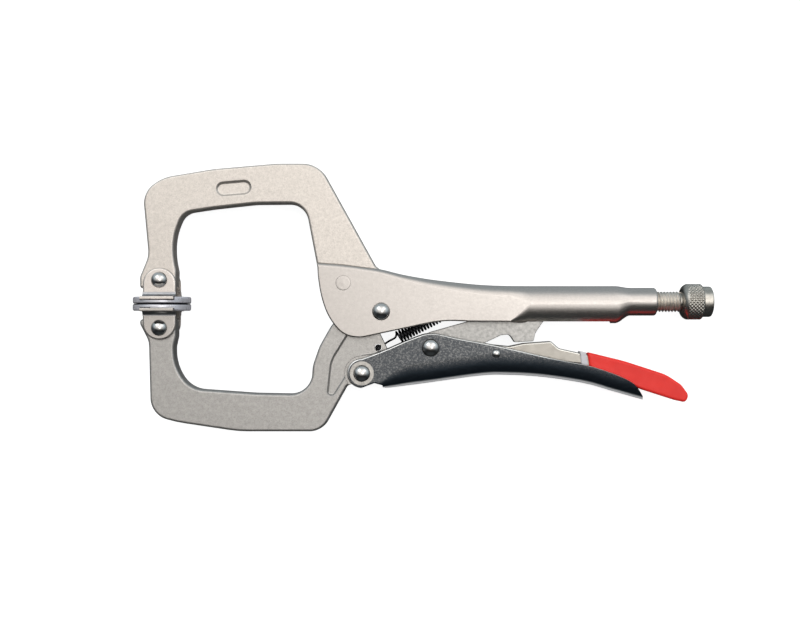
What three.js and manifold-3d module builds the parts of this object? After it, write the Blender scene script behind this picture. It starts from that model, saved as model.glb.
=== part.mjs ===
import * as THREE from 'three';
import * as BufferGeometryUtils from 'three/addons/utils/BufferGeometryUtils.js';
import Module from 'manifold-3d';

// Locking C clamp, lying on its side. Millimetres, +Z up.
// X runs along the handles towards the adjusting screw, Y runs from the lower jaw to the upper jaw,
// and z = 0 is the middle plane of the jaws. The main pivot is at the origin of this design frame;
// the last lines move the whole clamp so that its bounding box stands on the origin.

// Pivots, all parallel to Z.
const MAIN_PIVOT = [0, 0];
const LEVER_PIVOT = [-9.2, -29.4];
const LINK_PIVOT = [23.5, -17.2];
const RELEASE_PIVOT = [54.6, -20.1];
const UPPER_PAD_PIVOT = [-105.2, 15];
const LOWER_PAD_PIVOT = [-105.25, -7.8];
const JAW_PLUG = [-18, 13.5];

// Thicknesses across the clamp, as half widths from the middle plane.
const JAW_HALF = 5;
const EAR_SEAT = 4.4;
const EAR_SEAT_RADIUS = 8.3;
const POCKET_FLOOR = 3.9;
const LOWER_BOSS_RADIUS = 10.2;
const HANDLE_INNER = 5.15;
const HANDLE_OUTER = 7.25;
const HANDLE_WALL = HANDLE_OUTER - HANDLE_INNER;
const LEVER_INNER = 4.55;
const LEVER_OUTER = 6.55;
const LEVER_WALL = 2.1;
const LEVER_EAR_RADIUS = 7;
const LINK_HALF = 2.5;
const RELEASE_HALF = 3.1;
const RELEASE_WALL = 1.2;
const GRIP_HALF = 4.1;

// Edge breaks and clearances.
const JAW_BEVEL = 0.8;
const RUNNING_FIT = 0.08;
const HEAD_GAP = 0.06;
const THROUGH = 9;

// Rivets: shank radius, head radius and dome height.
const MAIN_RIVET = { shank: 3.6, head: 4.25, dome: 2.8 };
const LEVER_RIVET = { shank: 3.2, head: 4, dome: 2.6 };
const LINK_RIVET = { shank: 3.2, head: 4.25, dome: 2.8 };
const RELEASE_RIVET = { shank: 1.6, head: 2, dome: 1.3 };
const PAD_RIVET = { shank: 2.9, head: 3.8, dome: 2.5 };
const PLUG_RADIUS = 3.45;

// Swivel pads.
const PAD_RADIUS = 13.75;
const PAD_RIM_HEIGHT = 3.2;
const PAD_DISH_HEIGHT = 1.5;
const PAD_REACH = 11.25;
const BRACKET_WALL = 1.6;
const BRACKET_HALF_WIDTH = 7.85;
const BRACKET_EAR_END = 5.7;
const BRACKET_INNER = 5.25;
const BRACKET_FOOT = 13.2;
const PAD_SEAT_GAP = 0.3;

// Adjusting screw, M10 x 1.5, along X.
const SCREW_AXIS_Y = 4.6;
const SCREW_AXIS = [0, SCREW_AXIS_Y, 0];
const SCREW_RADIUS = 4.9;
const SCREW_TIP_X = 94.6;
const SCREW_HEAD_X = 143.5;
const SCREW_END_X = 158;
const KNOB_RADIUS = 8.55;
const NOZZLE_RADIUS = 6.65;
const NOZZLE_START_X = 119;
const NOZZLE_END_X = 131.4;

// Return spring.
const SPRING_HOLE = [-1.5, -17.3];
const SPRING_ANCHOR = [39.2, 3.6];
const SPRING_RADIUS = 3.2;
const SPRING_WIRE = 0.55;
const COIL_START = 11;
const COIL_END_GAP = 5.2;

const CIRCLE_SEGMENTS = 24;
const wasm = await Module();
wasm.setup();

// ---------------------------------------------------------------- solids

function signedVolume(position, index) {
  const a = new THREE.Vector3();
  const b = new THREE.Vector3();
  const c = new THREE.Vector3();
  let total = 0;
  for (let i = 0; i < index.length; i += 3) {
    a.fromBufferAttribute(position, index[i]);
    b.fromBufferAttribute(position, index[i + 1]);
    c.fromBufferAttribute(position, index[i + 2]);
    total += a.dot(b.cross(c)) / 6;
  }
  return total;
}

// A closed three.js geometry as a manifold solid that faces outwards.
function solid(source) {
  const bare = source.index ? source.toNonIndexed() : source.clone();
  for (const name of Object.keys(bare.attributes)) {
    if (name !== 'position') bare.deleteAttribute(name);
  }
  const merged = BufferGeometryUtils.mergeVertices(bare, 1e-4);
  const { position } = merged.attributes;
  const kept = [];
  for (let i = 0; i < merged.index.count; i += 3) {
    const corners = [0, 1, 2].map((k) => merged.index.getX(i + k));
    if (new Set(corners).size === 3) kept.push(...corners);
  }
  if (signedVolume(position, kept) < 0) {
    for (let i = 0; i < kept.length; i += 3) [kept[i], kept[i + 1]] = [kept[i + 1], kept[i]];
  }
  return new wasm.Manifold(new wasm.Mesh({
    numProp: 3,
    vertProperties: new Float32Array(position.array),
    triVerts: new Uint32Array(kept),
  }));
}

function union(...parts) {
  return parts.reduce((sum, part) => sum.add(part));
}

function cut(body, ...tools) {
  return tools.reduce((rest, tool) => rest.subtract(tool), body);
}

// Corners are [x, y, fillet radius]; a missing radius leaves the corner sharp.
function roundedOutline(corners) {
  const count = corners.length;
  const fillets = corners.map(([x, y, radius = 0], i) => {
    const here = new THREE.Vector2(x, y);
    const toPrevious = new THREE.Vector2(...corners[(i + count - 1) % count]).sub(here);
    const toNext = new THREE.Vector2(...corners[(i + 1) % count]).sub(here);
    const room = toNext.length();
    toPrevious.normalize();
    toNext.normalize();
    const half = Math.acos(THREE.MathUtils.clamp(toPrevious.dot(toNext), -1, 1)) / 2;
    const setback = radius / Math.tan(half);
    return { here, toPrevious, toNext, room, radius, half, setback: setback > 0.2 ? setback : 0 };
  });
  const shape = new THREE.Shape();
  fillets.forEach(({ here, toPrevious, toNext, room, radius, half, setback }, i) => {
    if (setback + fillets[(i + 1) % count].setback > room) {
      throw new Error(`no room for the fillets after corner ${here.x}, ${here.y}`);
    }
    const start = here.clone().addScaledVector(toPrevious, setback);
    if (i === 0) shape.moveTo(start.x, start.y);
    else shape.lineTo(start.x, start.y);
    if (setback > 0) {
      const bisector = toPrevious.clone().add(toNext).normalize();
      const centre = here.clone().addScaledVector(bisector, radius / Math.sin(half));
      const end = here.clone().addScaledVector(toNext, setback);
      const from = Math.atan2(start.y - centre.y, start.x - centre.x);
      const to = Math.atan2(end.y - centre.y, end.x - centre.x);
      shape.absarc(centre.x, centre.y, radius, from, to, toPrevious.cross(toNext) > 0);
    }
  });
  shape.closePath();
  return shape;
}

// A shape in the XY plane made into a plate from z0 to z1, with an optional edge bevel.
function plate(shape, z0, z1, bevel = 0, curveSegments = 2) {
  const geometry = new THREE.ExtrudeGeometry(shape, {
    depth: z1 - z0 - 2 * bevel,
    curveSegments,
    bevelEnabled: bevel > 0,
    bevelThickness: bevel,
    bevelSize: bevel,
    bevelOffset: -bevel,
    bevelSegments: 1,
  });
  geometry.translate(0, 0, z0 + bevel);
  return solid(geometry);
}

function pin(centre, radius, z0, z1) {
  const geometry = new THREE.CylinderGeometry(radius, radius, z1 - z0, CIRCLE_SEGMENTS);
  geometry.rotateX(Math.PI / 2);
  geometry.translate(centre[0], centre[1], (z0 + z1) / 2);
  return solid(geometry);
}

// A hole right through the clamp for a pin of that radius, with its running fit.
function bore(centre, radius) {
  return pin(centre, radius + RUNNING_FIT, -THROUGH, THROUGH);
}

function block(x0, x1, y0, y1, z0, z1) {
  const geometry = new THREE.BoxGeometry(x1 - x0, y1 - y0, z1 - z0);
  geometry.translate((x0 + x1) / 2, (y0 + y1) / 2, (z0 + z1) / 2);
  return solid(geometry);
}

// A solid of revolution; the profile is a list of [distance along the axis, radius].
function turned(profile, axis, [x, y, z], segments = CIRCLE_SEGMENTS) {
  const geometry = new THREE.LatheGeometry(profile.map(([a, r]) => new THREE.Vector2(r, a)), segments);
  if (axis === 'x') geometry.rotateZ(-Math.PI / 2);
  if (axis === 'z') geometry.rotateX(Math.PI / 2);
  geometry.translate(x, y, z);
  return solid(geometry);
}

// A solid skinned over rings of equal length; each ring is convex.
function loft(rings) {
  const count = rings[0].length;
  const vertices = rings.flat(2);
  const index = [];
  for (let r = 0; r + 1 < rings.length; r += 1) {
    for (let i = 0; i < count; i += 1) {
      const a = r * count + i;
      const b = r * count + ((i + 1) % count);
      index.push(a, b, a + count, b, b + count, a + count);
    }
  }
  const last = (rings.length - 1) * count;
  for (let i = 1; i + 1 < count; i += 1) {
    index.push(0, i + 1, i, last, last + i, last + i + 1);
  }
  const geometry = new THREE.BufferGeometry();
  geometry.setAttribute('position', new THREE.Float32BufferAttribute(vertices, 3));
  geometry.setIndex(index);
  return solid(geometry);
}

// One ring of a handle section at x: a rectangle whose top and bottom corners have their own radius.
// A corner may rise further up the side than its radius, which crowns the side.
function sectionRing(station) {
  const { x, top, bottom, half, topRadius, bottomRadius } = station;
  const { topRise = topRadius, bottomRise = bottomRadius } = station;
  const shape = new THREE.Path();
  const corners = [
    [half - bottomRadius, bottom + bottomRise, bottomRadius, bottomRise],
    [half - topRadius, top - topRise, topRadius, topRise],
    [-half + topRadius, top - topRise, topRadius, topRise],
    [-half + bottomRadius, bottom + bottomRise, bottomRadius, bottomRise],
  ];
  corners.forEach(([cz, cy, radius, rise], i) => {
    const from = (i - 1) * Math.PI / 2;
    shape.absellipse(cz, cy, radius, rise, from, from + Math.PI / 2);
  });
  return shape.getPoints(2).map(({ x: z, y }) => [x, y, z]);
}

// A wire of round section along a path of points.
function wire(points, radius, steps) {
  const curve = new THREE.CatmullRomCurve3(points.map((p) => new THREE.Vector3(...p)));
  const section = new THREE.Shape().absarc(0, 0, radius, 0, 2 * Math.PI);
  return solid(new THREE.ExtrudeGeometry(section, { steps, curveSegments: 4, extrudePath: curve }));
}

const clamp = new THREE.Group();

// Adds a solid to the clamp as a named mesh.
function add(name, body, color, roughness, metalness) {
  const { numProp, vertProperties, triVerts } = body.getMesh();
  const positions = new Float32Array((vertProperties.length / numProp) * 3);
  for (let i = 0; i < positions.length / 3; i += 1) {
    for (let k = 0; k < 3; k += 1) positions[3 * i + k] = vertProperties[numProp * i + k];
  }
  const geometry = new THREE.BufferGeometry();
  geometry.setAttribute('position', new THREE.BufferAttribute(positions, 3));
  geometry.setIndex(new THREE.BufferAttribute(new Uint32Array(triVerts), 1));
  geometry.computeVertexNormals();
  const mesh = new THREE.Mesh(geometry, new THREE.MeshStandardMaterial({ color, roughness, metalness }));
  mesh.name = name;
  clamp.add(mesh);
}

const NICKEL = 0xd9d2c8;
const FORGED = 0xb9b5ac;
const DARK_STEEL = 0x55585c;
const POLISHED = 0xd8d8da;
const RED_VINYL = 0xe63e36;

// ---------------------------------------------------------------- jaws

function upperJaw() {
  const [px, py] = UPPER_PAD_PIVOT;
  const tipCut = py - 4.2;
  const arm = plate(roundedOutline([
    [px - 9.9, tipCut, 1.5],
    [px - 9.9, py + 1.5, 5],
    [-111, 26.5, 12],
    [-113.8, 56.7, 11.5],
    [-104.5, 63.9, 20],
    [-80, 68, 60],
    [-50, 70.6, 60],
    [-29.7, 70.6, 13],
    [-2.6, 21.6, 3.5],
    [0.6, 19.2],
    [0.6, 9],
    [-9, 5.5],
    [-25, 5.5, 3],
    [-29.3, 14, 6],
    [-36.4, 51.3, 9],
    [-60, 51.1, 40],
    [-80, 48.9, 60],
    [-94, 46.8, 7.5],
    [-98.9, 36, 25],
    [-98.5, 25, 25],
    [px + 7.9, py + 4, 6],
    [px + 7.7, tipCut, 1.5],
  ]), -JAW_HALF, JAW_HALF, JAW_BEVEL);
  const slope = THREE.MathUtils.degToRad(5);
  const recess = plate(roundedOutline([
    [-8.4, -3.5, 3.45],
    [8.4, -3.5, 3.45],
    [8.4, 3.5, 3.45],
    [-8.4, 3.5, 3.45],
  ]), JAW_HALF - 0.8, JAW_HALF + 1).rotate([0, 0, THREE.MathUtils.radToDeg(slope)])
    .translate([-70.2, 58.6, 0]);
  return cut(
    arm,
    recess,
    bore(UPPER_PAD_PIVOT, PAD_RIVET.shank),
    bore(JAW_PLUG, PLUG_RADIUS),
    pin(MAIN_PIVOT, LOWER_BOSS_RADIUS + 1.2, -THROUGH, THROUGH),
  );
}

function lowerJaw() {
  const [px, py] = LOWER_PAD_PIVOT;
  const tipCut = py + 4.2;
  const arm = plate(roundedOutline([
    [px + 7.7, tipCut, 1.5],
    [px + 7.8, py - 4, 6],
    [-98.6, -17, 8],
    [-98.4, -26, 14],
    [-91, -36.6, 9],
    [-60, -39, 80],
    [-33.6, -39.5, 10],
    [-32.9, -26, 14],
    [-29.6, -16.6, 20],
    [-23.2, -5.4, 20],
    [-18, -1, 4],
    [-9, 3],
    [-5, -5],
    [1, -8],
    [-0.8, -10, 1],
    [3.2, -18.4, 1.5],
    [-1.6, -23.5, 4],
    [-3, -34.6, 6],
    [-15.8, -35, 3],
    [-28.2, -57.4, 10],
    [-68, -57.4, 60],
    [-97.5, -53, 30],
    [-106, -50.5, 8],
    [-110, -44.5, 9],
    [-110.9, -14.3, 10],
    [px - 9.8, py + 1.6, 3],
    [px - 9.9, tipCut, 1.5],
  ]), -JAW_HALF, JAW_HALF, JAW_BEVEL);
  // A shallow pocket in each side lightens the arm; the lever's ears sit on a seat next to it.
  const pocketShape = roundedOutline([
    [-10, -3],
    [-13.6, -6.6],
    [-24, -23.5, 14],
    [-25.8, -40.6, 1.7],
    [-22.4, -39.6, 1.7],
    [-15, -28],
    [-9.2, -21.2],
    [-4, -20.5, 3],
    [12, -13.8],
    [12, -3],
  ]);
  const seatShape = roundedOutline([
    [-9.2, -21.1],
    [-5, -20.8],
    [12, -14],
    [12, -40],
    [-9.2, -40],
  ]);
  const boss = pin(MAIN_PIVOT, LOWER_BOSS_RADIUS, -JAW_HALF, JAW_HALF);
  const recesses = [1, -1].map((side) => {
    const pocket = plate(pocketShape, POCKET_FLOOR, JAW_HALF + 1);
    const seat = union(
      plate(seatShape, EAR_SEAT, JAW_HALF + 1),
      pin(LEVER_PIVOT, EAR_SEAT_RADIUS, EAR_SEAT, JAW_HALF + 1),
    );
    const both = union(pocket.subtract(pin(LEVER_PIVOT, EAR_SEAT_RADIUS, -THROUGH, THROUGH)), seat)
      .subtract(pin(MAIN_PIVOT, LOWER_BOSS_RADIUS + 0.4, -THROUGH, THROUGH));
    return side > 0 ? both : both.mirror([0, 0, 1]);
  });
  return cut(
    union(arm, boss),
    ...recesses,
    bore(MAIN_PIVOT, MAIN_RIVET.shank),
    bore(LEVER_PIVOT, LEVER_RIVET.shank),
    bore(LOWER_PAD_PIVOT, PAD_RIVET.shank),
    bore(SPRING_HOLE, 3 * SPRING_WIRE),
  );
}

// ---------------------------------------------------------------- fixed handle

// Height of the handle's back at stations along X, with the bend radius there.
const HANDLE_BACK = [
  { x: -31, top: 23.4, radius: 2.2 },
  { x: -20, top: 22.6, radius: 2.2 },
  { x: -10, top: 21.4, radius: 2.2 },
  { x: 0, top: 19.9, radius: 2.4 },
  { x: 10, top: 17.5, radius: 2.8 },
  { x: 22, top: 15.4, radius: 3.6 },
  { x: 35, top: 13.8, radius: 4.4 },
  { x: 48, top: 12.6, radius: 5 },
  { x: 61, top: 12.1, radius: 5.4 },
  { x: 70, top: 12.1, radius: 6.6, rise: 8 },
  { x: 113, top: 12.1, radius: 6.6, rise: 8 },
];
const HANDLE_BELLY = -5.7;
const HANDLE_SHOULDER_X = 113;
const TUBE_START_X = 70;
const CHANNEL_END_X = 61;
const JOIN = 0.05;

function handleEnvelope() {
  const rings = HANDLE_BACK.map(({ x, top, radius, rise }) => sectionRing({
    x,
    top,
    bottom: x < TUBE_START_X ? -14 : HANDLE_BELLY,
    half: HANDLE_OUTER,
    topRadius: radius,
    topRise: rise,
    bottomRadius: x < TUBE_START_X ? 0.2 : 6.2,
    bottomRise: x < TUBE_START_X ? 0.2 : 8.4,
  }));
  const front = loft(rings.slice(0, 9));
  const tube = loft([
    sectionRing({
      x: CHANNEL_END_X,
      top: 12.1,
      bottom: -5,
      half: HANDLE_OUTER,
      topRadius: 5.4,
      bottomRadius: 0.4,
    }),
    ...rings.slice(9),
    sectionRing({
      x: NOZZLE_START_X,
      top: SCREW_AXIS_Y + NOZZLE_RADIUS,
      bottom: SCREW_AXIS_Y - NOZZLE_RADIUS,
      half: NOZZLE_RADIUS,
      topRadius: NOZZLE_RADIUS - 0.02,
      bottomRadius: NOZZLE_RADIUS - 0.02,
    }),
  ]);
  return { front, tube };
}

function fixedHandle() {
  const { front, tube } = handleEnvelope();
  const lobe = new THREE.Shape();
  lobe.moveTo(-30.3, 24);
  lobe.splineThru([
    [-29.9, 16],
    [-28.1, 6],
    [-24.6, -2.9],
    [-18.6, -10.1],
    [-11, -12.4],
    [-1.5, -10.8],
    [12.2, -7.9],
    [23.7, -5.5],
    [32.1, -4.6],
    [42, -4.9],
  ].map(([x, y]) => new THREE.Vector2(x, y)));
  lobe.lineTo(CHANNEL_END_X + JOIN, -5);
  lobe.lineTo(CHANNEL_END_X + JOIN, 26);
  lobe.lineTo(-30.3, 26);
  lobe.closePath();
  const walls = front.intersect(plate(lobe, -THROUGH, THROUGH));
  const nozzle = turned([
    [NOZZLE_START_X - 1, 0],
    [NOZZLE_START_X - 1, NOZZLE_RADIUS],
    [NOZZLE_END_X - 1, NOZZLE_RADIUS],
    [NOZZLE_END_X, NOZZLE_RADIUS - 0.8],
    [NOZZLE_END_X, 0],
  ], 'x', SCREW_AXIS);

  // The channel inside: open below, closed by the back, and narrowing where the tube begins.
  const channelStations = HANDLE_BACK.filter(({ x }) => x > -1 && x <= CHANNEL_END_X);
  const channel = loft(channelStations.map(({ x, top, radius }) => sectionRing({
    x: x === 0 ? 1 : x,
    top: top - HANDLE_WALL,
    bottom: -20,
    half: HANDLE_INNER,
    topRadius: Math.max(radius - HANDLE_WALL, 0.4),
    bottomRadius: 0.2,
  })));
  const frontGap = block(-35, 1 + JOIN, -20, 30, -HANDLE_INNER, HANDLE_INNER);
  const tubeBore = loft([
    { x: CHANNEL_END_X - 2 * JOIN, bottom: -3.2, bottomRadius: 0.4, topRadius: 3.3 },
    { x: TUBE_START_X, bottom: -3.2, bottomRadius: 3.6, topRadius: 4.4 },
    { x: HANDLE_SHOULDER_X, bottom: -3.2, bottomRadius: 3.6, topRadius: 4.4 },
  ].map((station) => sectionRing({ ...station, top: 10, half: HANDLE_INNER })));
  const slot = block(CHANNEL_END_X - 2 * JOIN, 110, -9, 0, -3.3, 3.3);
  const slotMouth = block(CHANNEL_END_X - 2 * JOIN, 66, -9, 0, -HANDLE_INNER, HANDLE_INNER);
  const springTab = cut(
    plate(roundedOutline([
      [37.2, 12],
      [37.2, 1.4, 1.6],
      [41.2, 1.4, 1.6],
      [41.2, 12],
    ]), -0.8, 0.8),
    pin(SPRING_ANCHOR, 1.1, -2, 2),
  );
  const shell = cut(
    union(walls, tube, nozzle),
    channel,
    frontGap,
    tubeBore,
    slot,
    slotMouth,
    turned([[90, 0], [90, SCREW_RADIUS + 0.15], [140, SCREW_RADIUS + 0.15], [140, 0]],
      'x', SCREW_AXIS),
    bore(MAIN_PIVOT, MAIN_RIVET.shank),
    bore(JAW_PLUG, PLUG_RADIUS),
  );
  return union(shell, springTab.subtract(block(30, 50, 12.2, 30, -3, 3)));
}

// ---------------------------------------------------------------- lever and toggle

const LEVER_TOP = [
  [-9.2, -22.4],
  [1.8, -18.3],
  [14, -13.1],
  [24, -10.4],
  [37.6, -13],
  [56.8, -16.6],
  [84.8, -23],
  [98.3, -25.6],
  [111.9, -30.1],
  [120, -34.4],
  [124.6, -40.4],
];
const LEVER_BELLY = [
  { x: -17, y: -36.5, radius: 1.2, rise: 1.2 },
  { x: -4, y: -36.5, radius: 1.2, rise: 1.2 },
  { x: 4, y: -36.4, radius: 4, rise: 7 },
  { x: 12, y: -35.5 },
  { x: 22, y: -34.2 },
  { x: 47, y: -30.8 },
  { x: 60, y: -30.4 },
  { x: 77, y: -31.4 },
  { x: 97, y: -34.4 },
  { x: 111, y: -38.3 },
  { x: 125.4, y: -42.4 },
];

function leverHandle() {
  const side = new THREE.Shape();
  side.moveTo(...LEVER_TOP[0]);
  side.splineThru(LEVER_TOP.slice(1).map(([x, y]) => new THREE.Vector2(x, y)));
  side.lineTo(125.3, -43);
  side.lineTo(1.6, -43);
  side.lineTo(0.6, -35.2);
  side.lineTo(-3.2, -34.2);
  side.lineTo(LEVER_PIVOT[0], LEVER_PIVOT[1] - LEVER_EAR_RADIUS);
  side.absarc(...LEVER_PIVOT, LEVER_EAR_RADIUS, -Math.PI / 2, Math.PI / 2, true);
  const envelope = loft(LEVER_BELLY.map(({ x, y, radius = 5.6, rise = 11 }) => sectionRing({
    x,
    top: 0,
    bottom: y,
    half: LEVER_OUTER,
    topRadius: 0.2,
    bottomRadius: radius,
    bottomRise: rise,
  })));
  const channel = loft(LEVER_BELLY.map(({ x, y }) => sectionRing({
    x: x > 120 ? x + 0.5 : x,
    top: 5,
    bottom: y + LEVER_WALL,
    half: LEVER_INNER,
    topRadius: 0.2,
    bottomRadius: 3.4,
    bottomRise: 6,
  })));
  return cut(
    envelope.intersect(plate(side, -THROUGH, THROUGH, 0, 4)),
    channel,
    block(-30, 1.6, -60, 0, -LEVER_INNER, LEVER_INNER),
    bore(LEVER_PIVOT, LEVER_RIVET.shank),
    bore(LINK_PIVOT, LINK_RIVET.shank),
    bore(RELEASE_PIVOT, RELEASE_RIVET.shank),
  );
}

function toggleLink() {
  const outline = roundedOutline([
    [15.2, -20, 6.5],
    [21.6, -10.4, 6],
    [88.2, 8.4, 3],
    [92.2, 3, 2.6],
    [82, -0.9, 6],
    [77.3, -4.9, 10],
    [73.6, -10.4, 6],
    [72.7, -14.3, 0.8],
    [63.7, -14.8, 0.8],
    [61.2, -11, 2.4],
    [57.2, -11.4, 2.4],
    [50, -14.8, 2],
    [25.6, -24.9, 6.5],
  ]);
  return cut(
    plate(outline, -LINK_HALF, LINK_HALF, 0.3),
    bore(LINK_PIVOT, LINK_RIVET.shank),
  );
}

// Corners of the release lever's tail, from its top edge round the end, grown by a clearance.
function tailCorners(clearance) {
  return [
    [122, -27.2 + clearance, 30],
    [135, -31.4 + clearance, 8],
    [142.6 + clearance, -38, 2],
    [141.6 + clearance, -41.2 - clearance, 1.6],
    [124, -36 - clearance, 30],
    [96, -25.6 - clearance, 10],
  ];
}

function releaseLever() {
  const outline = roundedOutline([
    [50.1, -24.4, 4],
    [50.1, -15.5, 4],
    [61, -16.6, 3],
    [68, -15.2, 4],
    [81, -14.2, 1.5],
    [84.9, -17.6, 2],
    [98, -20.5, 10],
    ...tailCorners(0),
    [78, -23.8, 6],
    [60, -24.4, 6],
  ]);
  const hollow = roundedOutline([
    [50, -40],
    [50, -18.2],
    [61, -18.2, 3],
    [68, -16.6, 4],
    [80.3, -15.6, 1],
    [84.2, -19, 2],
    [94, -21.1],
    [94, -40],
  ]);
  const inside = RELEASE_HALF - RELEASE_WALL;
  return cut(
    plate(outline, -RELEASE_HALF, RELEASE_HALF, 0.3),
    plate(hollow, -inside, inside),
    bore(RELEASE_PIVOT, RELEASE_RIVET.shank),
  );
}

// The vinyl sleeve and its collar both close around the tail of the release lever.
function tailCavity() {
  const outline = roundedOutline([
    [90, -18.5],
    [98, -20.3, 10],
    ...tailCorners(0.2),
    [90, -25],
  ]);
  return plate(outline, -RELEASE_HALF - 0.1, RELEASE_HALF + 0.1);
}

function gripCollar() {
  const outline = roundedOutline([
    [94.7, -18.9, 0.5],
    [97.6, -19.5, 0.5],
    [98.9, -26.6, 0.5],
    [95.6, -26.4, 0.5],
  ]);
  return cut(plate(outline, -3.7, 3.7, 0.3), tailCavity());
}

function gripSleeve() {
  const outline = roundedOutline([
    [98, -19.3, 1.4],
    [116, -23.7, 60],
    [136, -30.2, 20],
    [143.2, -35, 8],
    [146.8, -40, 3],
    [145.2, -43.5, 2],
    [140, -42.4, 10],
    [125, -37.6, 40],
    [99.4, -27.6, 1.4],
  ]);
  return cut(plate(outline, -GRIP_HALF, GRIP_HALF, 1), tailCavity());
}

// ---------------------------------------------------------------- rivets and pins

// A rivet with a domed head at both ends, over plates whose outer faces are at z = reach.
function rivet(centre, { shank, head, dome }, reach) {
  const seat = reach + HEAD_GAP;
  const edge = 0.35;
  const crown = [1, 0.5].map((share) => {
    const angle = share * Math.PI / 2;
    return [seat + edge + (dome - edge) * Math.cos(angle), head * Math.sin(angle)];
  });
  const half = [
    [0, shank],
    [seat, shank],
    [seat, head],
    ...crown,
    [seat + dome, 0],
  ];
  const other = half.slice(1).reverse().map(([a, r]) => [-a, r]);
  return turned([...other, ...half.slice(1)], 'z', [...centre, 0]);
}

// ---------------------------------------------------------------- screw

function adjustingScrew() {
  return turned([
    [SCREW_TIP_X + 4, 0],
    [SCREW_TIP_X + 4, SCREW_RADIUS - 1],
    [SCREW_TIP_X + 5, SCREW_RADIUS],
    [SCREW_HEAD_X - 0.6, SCREW_RADIUS],
    [SCREW_HEAD_X, SCREW_RADIUS - 0.7],
    [SCREW_HEAD_X, KNOB_RADIUS - 3.2],
    [SCREW_HEAD_X + 1.2, KNOB_RADIUS - 1.1],
    [SCREW_HEAD_X + 3, KNOB_RADIUS - 0.2],
    [SCREW_HEAD_X + 3.6, KNOB_RADIUS],
    [SCREW_HEAD_X + 9.4, KNOB_RADIUS],
    [SCREW_HEAD_X + 9.9, KNOB_RADIUS - 0.9],
    [SCREW_HEAD_X + 10.1, KNOB_RADIUS - 1.2],
    [SCREW_END_X - 0.8, KNOB_RADIUS - 1.2],
    [SCREW_END_X, KNOB_RADIUS - 2],
    [SCREW_END_X, 0],
  ], 'x', SCREW_AXIS).subtract(
    turned([[90, 0], [90, 2.08], [SCREW_TIP_X + 9, 2.08], [SCREW_TIP_X + 9, 0]],
      'x', SCREW_AXIS),
  );
}

// The hardened tip that the toggle link pushes on, with its spigot in the screw's end.
function screwTip() {
  return turned([
    [SCREW_TIP_X, 0],
    [SCREW_TIP_X, 2.4],
    [SCREW_TIP_X + 1.2, 4],
    [SCREW_TIP_X + 3.7, 4],
    [SCREW_TIP_X + 3.7, 2],
    [SCREW_TIP_X + 8.5, 2],
    [SCREW_TIP_X + 8.5, 0],
  ], 'x', SCREW_AXIS);
}

// ---------------------------------------------------------------- spring

function tensionSpring() {
  const [hx, hy] = SPRING_HOLE;
  const [ax, ay] = SPRING_ANCHOR;
  const length = Math.hypot(ax - hx, ay - hy);
  const angle = Math.atan2(ay - hy, ax - hx);
  const coilEnd = length - COIL_END_GAP;
  const along = (distance, lift = 0, z = 0) => [
    hx + distance * Math.cos(angle) - lift * Math.sin(angle),
    hy + distance * Math.sin(angle) + lift * Math.cos(angle),
    z,
  ];
  const coil = turned([
    [0, 0],
    [0, SPRING_RADIUS],
    [coilEnd - COIL_START, SPRING_RADIUS],
    [coilEnd - COIL_START, 0],
  ], 'x', [0, 0, 0], 20).rotate([0, 0, THREE.MathUtils.radToDeg(angle)])
    .translate(along(COIL_START));
  const jawHook = wire([
    along(COIL_START + 1),
    along(COIL_START - 1.5),
    along(6, 0.3, -2.2),
    along(3.6, 0, -5.2),
    along(1.4, 0, -5.9),
    along(0.1, 0, -5.2),
    along(0, 0, -1.5),
  ], SPRING_WIRE, 24);
  const handleHook = wire([
    along(coilEnd - 1),
    along(coilEnd + 1.6, 0, 0.6),
    along(length - 1.4, 0, 1.7),
    along(length - 0.2, 0, 1.4),
    along(length + 0.1, 0, 0),
    along(length - 0.2, 0, -1.4),
    along(length - 1.6, 0, -1.8),
  ], SPRING_WIRE * 0.9, 20);
  return union(coil, jawHook, handleHook);
}

// ---------------------------------------------------------------- swivel pads

// Pads are built facing down from a pivot at the origin; side is 1 for the upper pad, -1 for the lower.
// The disc is a shallow dish whose rim is open where the bracket's foot passes through it.
function padDisc([x, y], side) {
  const face = -PAD_REACH;
  const dish = face + PAD_DISH_HEIGHT;
  const rim = face + PAD_RIM_HEIGHT;
  const opening = BRACKET_HALF_WIDTH + PAD_SEAT_GAP;
  const disc = turned([
    [face, 0],
    [face, PAD_RADIUS - 1.1],
    [face + 0.9, PAD_RADIUS],
    [rim - 0.9, PAD_RADIUS],
    [rim, PAD_RADIUS - 0.9],
    [rim, PAD_RADIUS - 1.9],
    [dish, PAD_RADIUS - 2.6],
    [dish, 0],
  ], 'y', [0, 0, 0], 32);
  return cut(disc, block(-opening, opening, dish, rim + 1, -20, 20))
    .rotate([side > 0 ? 0 : 180, 0, 0])
    .translate([x, y, 0]);
}

function padBracket([x, y], side) {
  const base = -PAD_REACH + PAD_DISH_HEIGHT + PAD_SEAT_GAP;
  const deck = base + BRACKET_WALL;
  const outer = BRACKET_INNER + BRACKET_WALL;
  const ear = roundedOutline([
    [-BRACKET_HALF_WIDTH, base],
    [BRACKET_HALF_WIDTH, base],
    [BRACKET_HALF_WIDTH, BRACKET_EAR_END, BRACKET_HALF_WIDTH - 0.1],
    [-BRACKET_HALF_WIDTH, BRACKET_EAR_END, BRACKET_HALF_WIDTH - 0.1],
  ]);
  const bracket = cut(
    union(
      plate(ear, BRACKET_INNER, outer, 0, 4),
      plate(ear, -outer, -BRACKET_INNER, 0, 4),
      block(-BRACKET_HALF_WIDTH, BRACKET_HALF_WIDTH, base, deck, -BRACKET_FOOT, BRACKET_FOOT),
    ),
    bore([0, 0], PAD_RIVET.shank),
  );
  return bracket.rotate([side > 0 ? 0 : 180, 0, 0]).translate([x, y, 0]);
}

// ---------------------------------------------------------------- assembly

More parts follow.
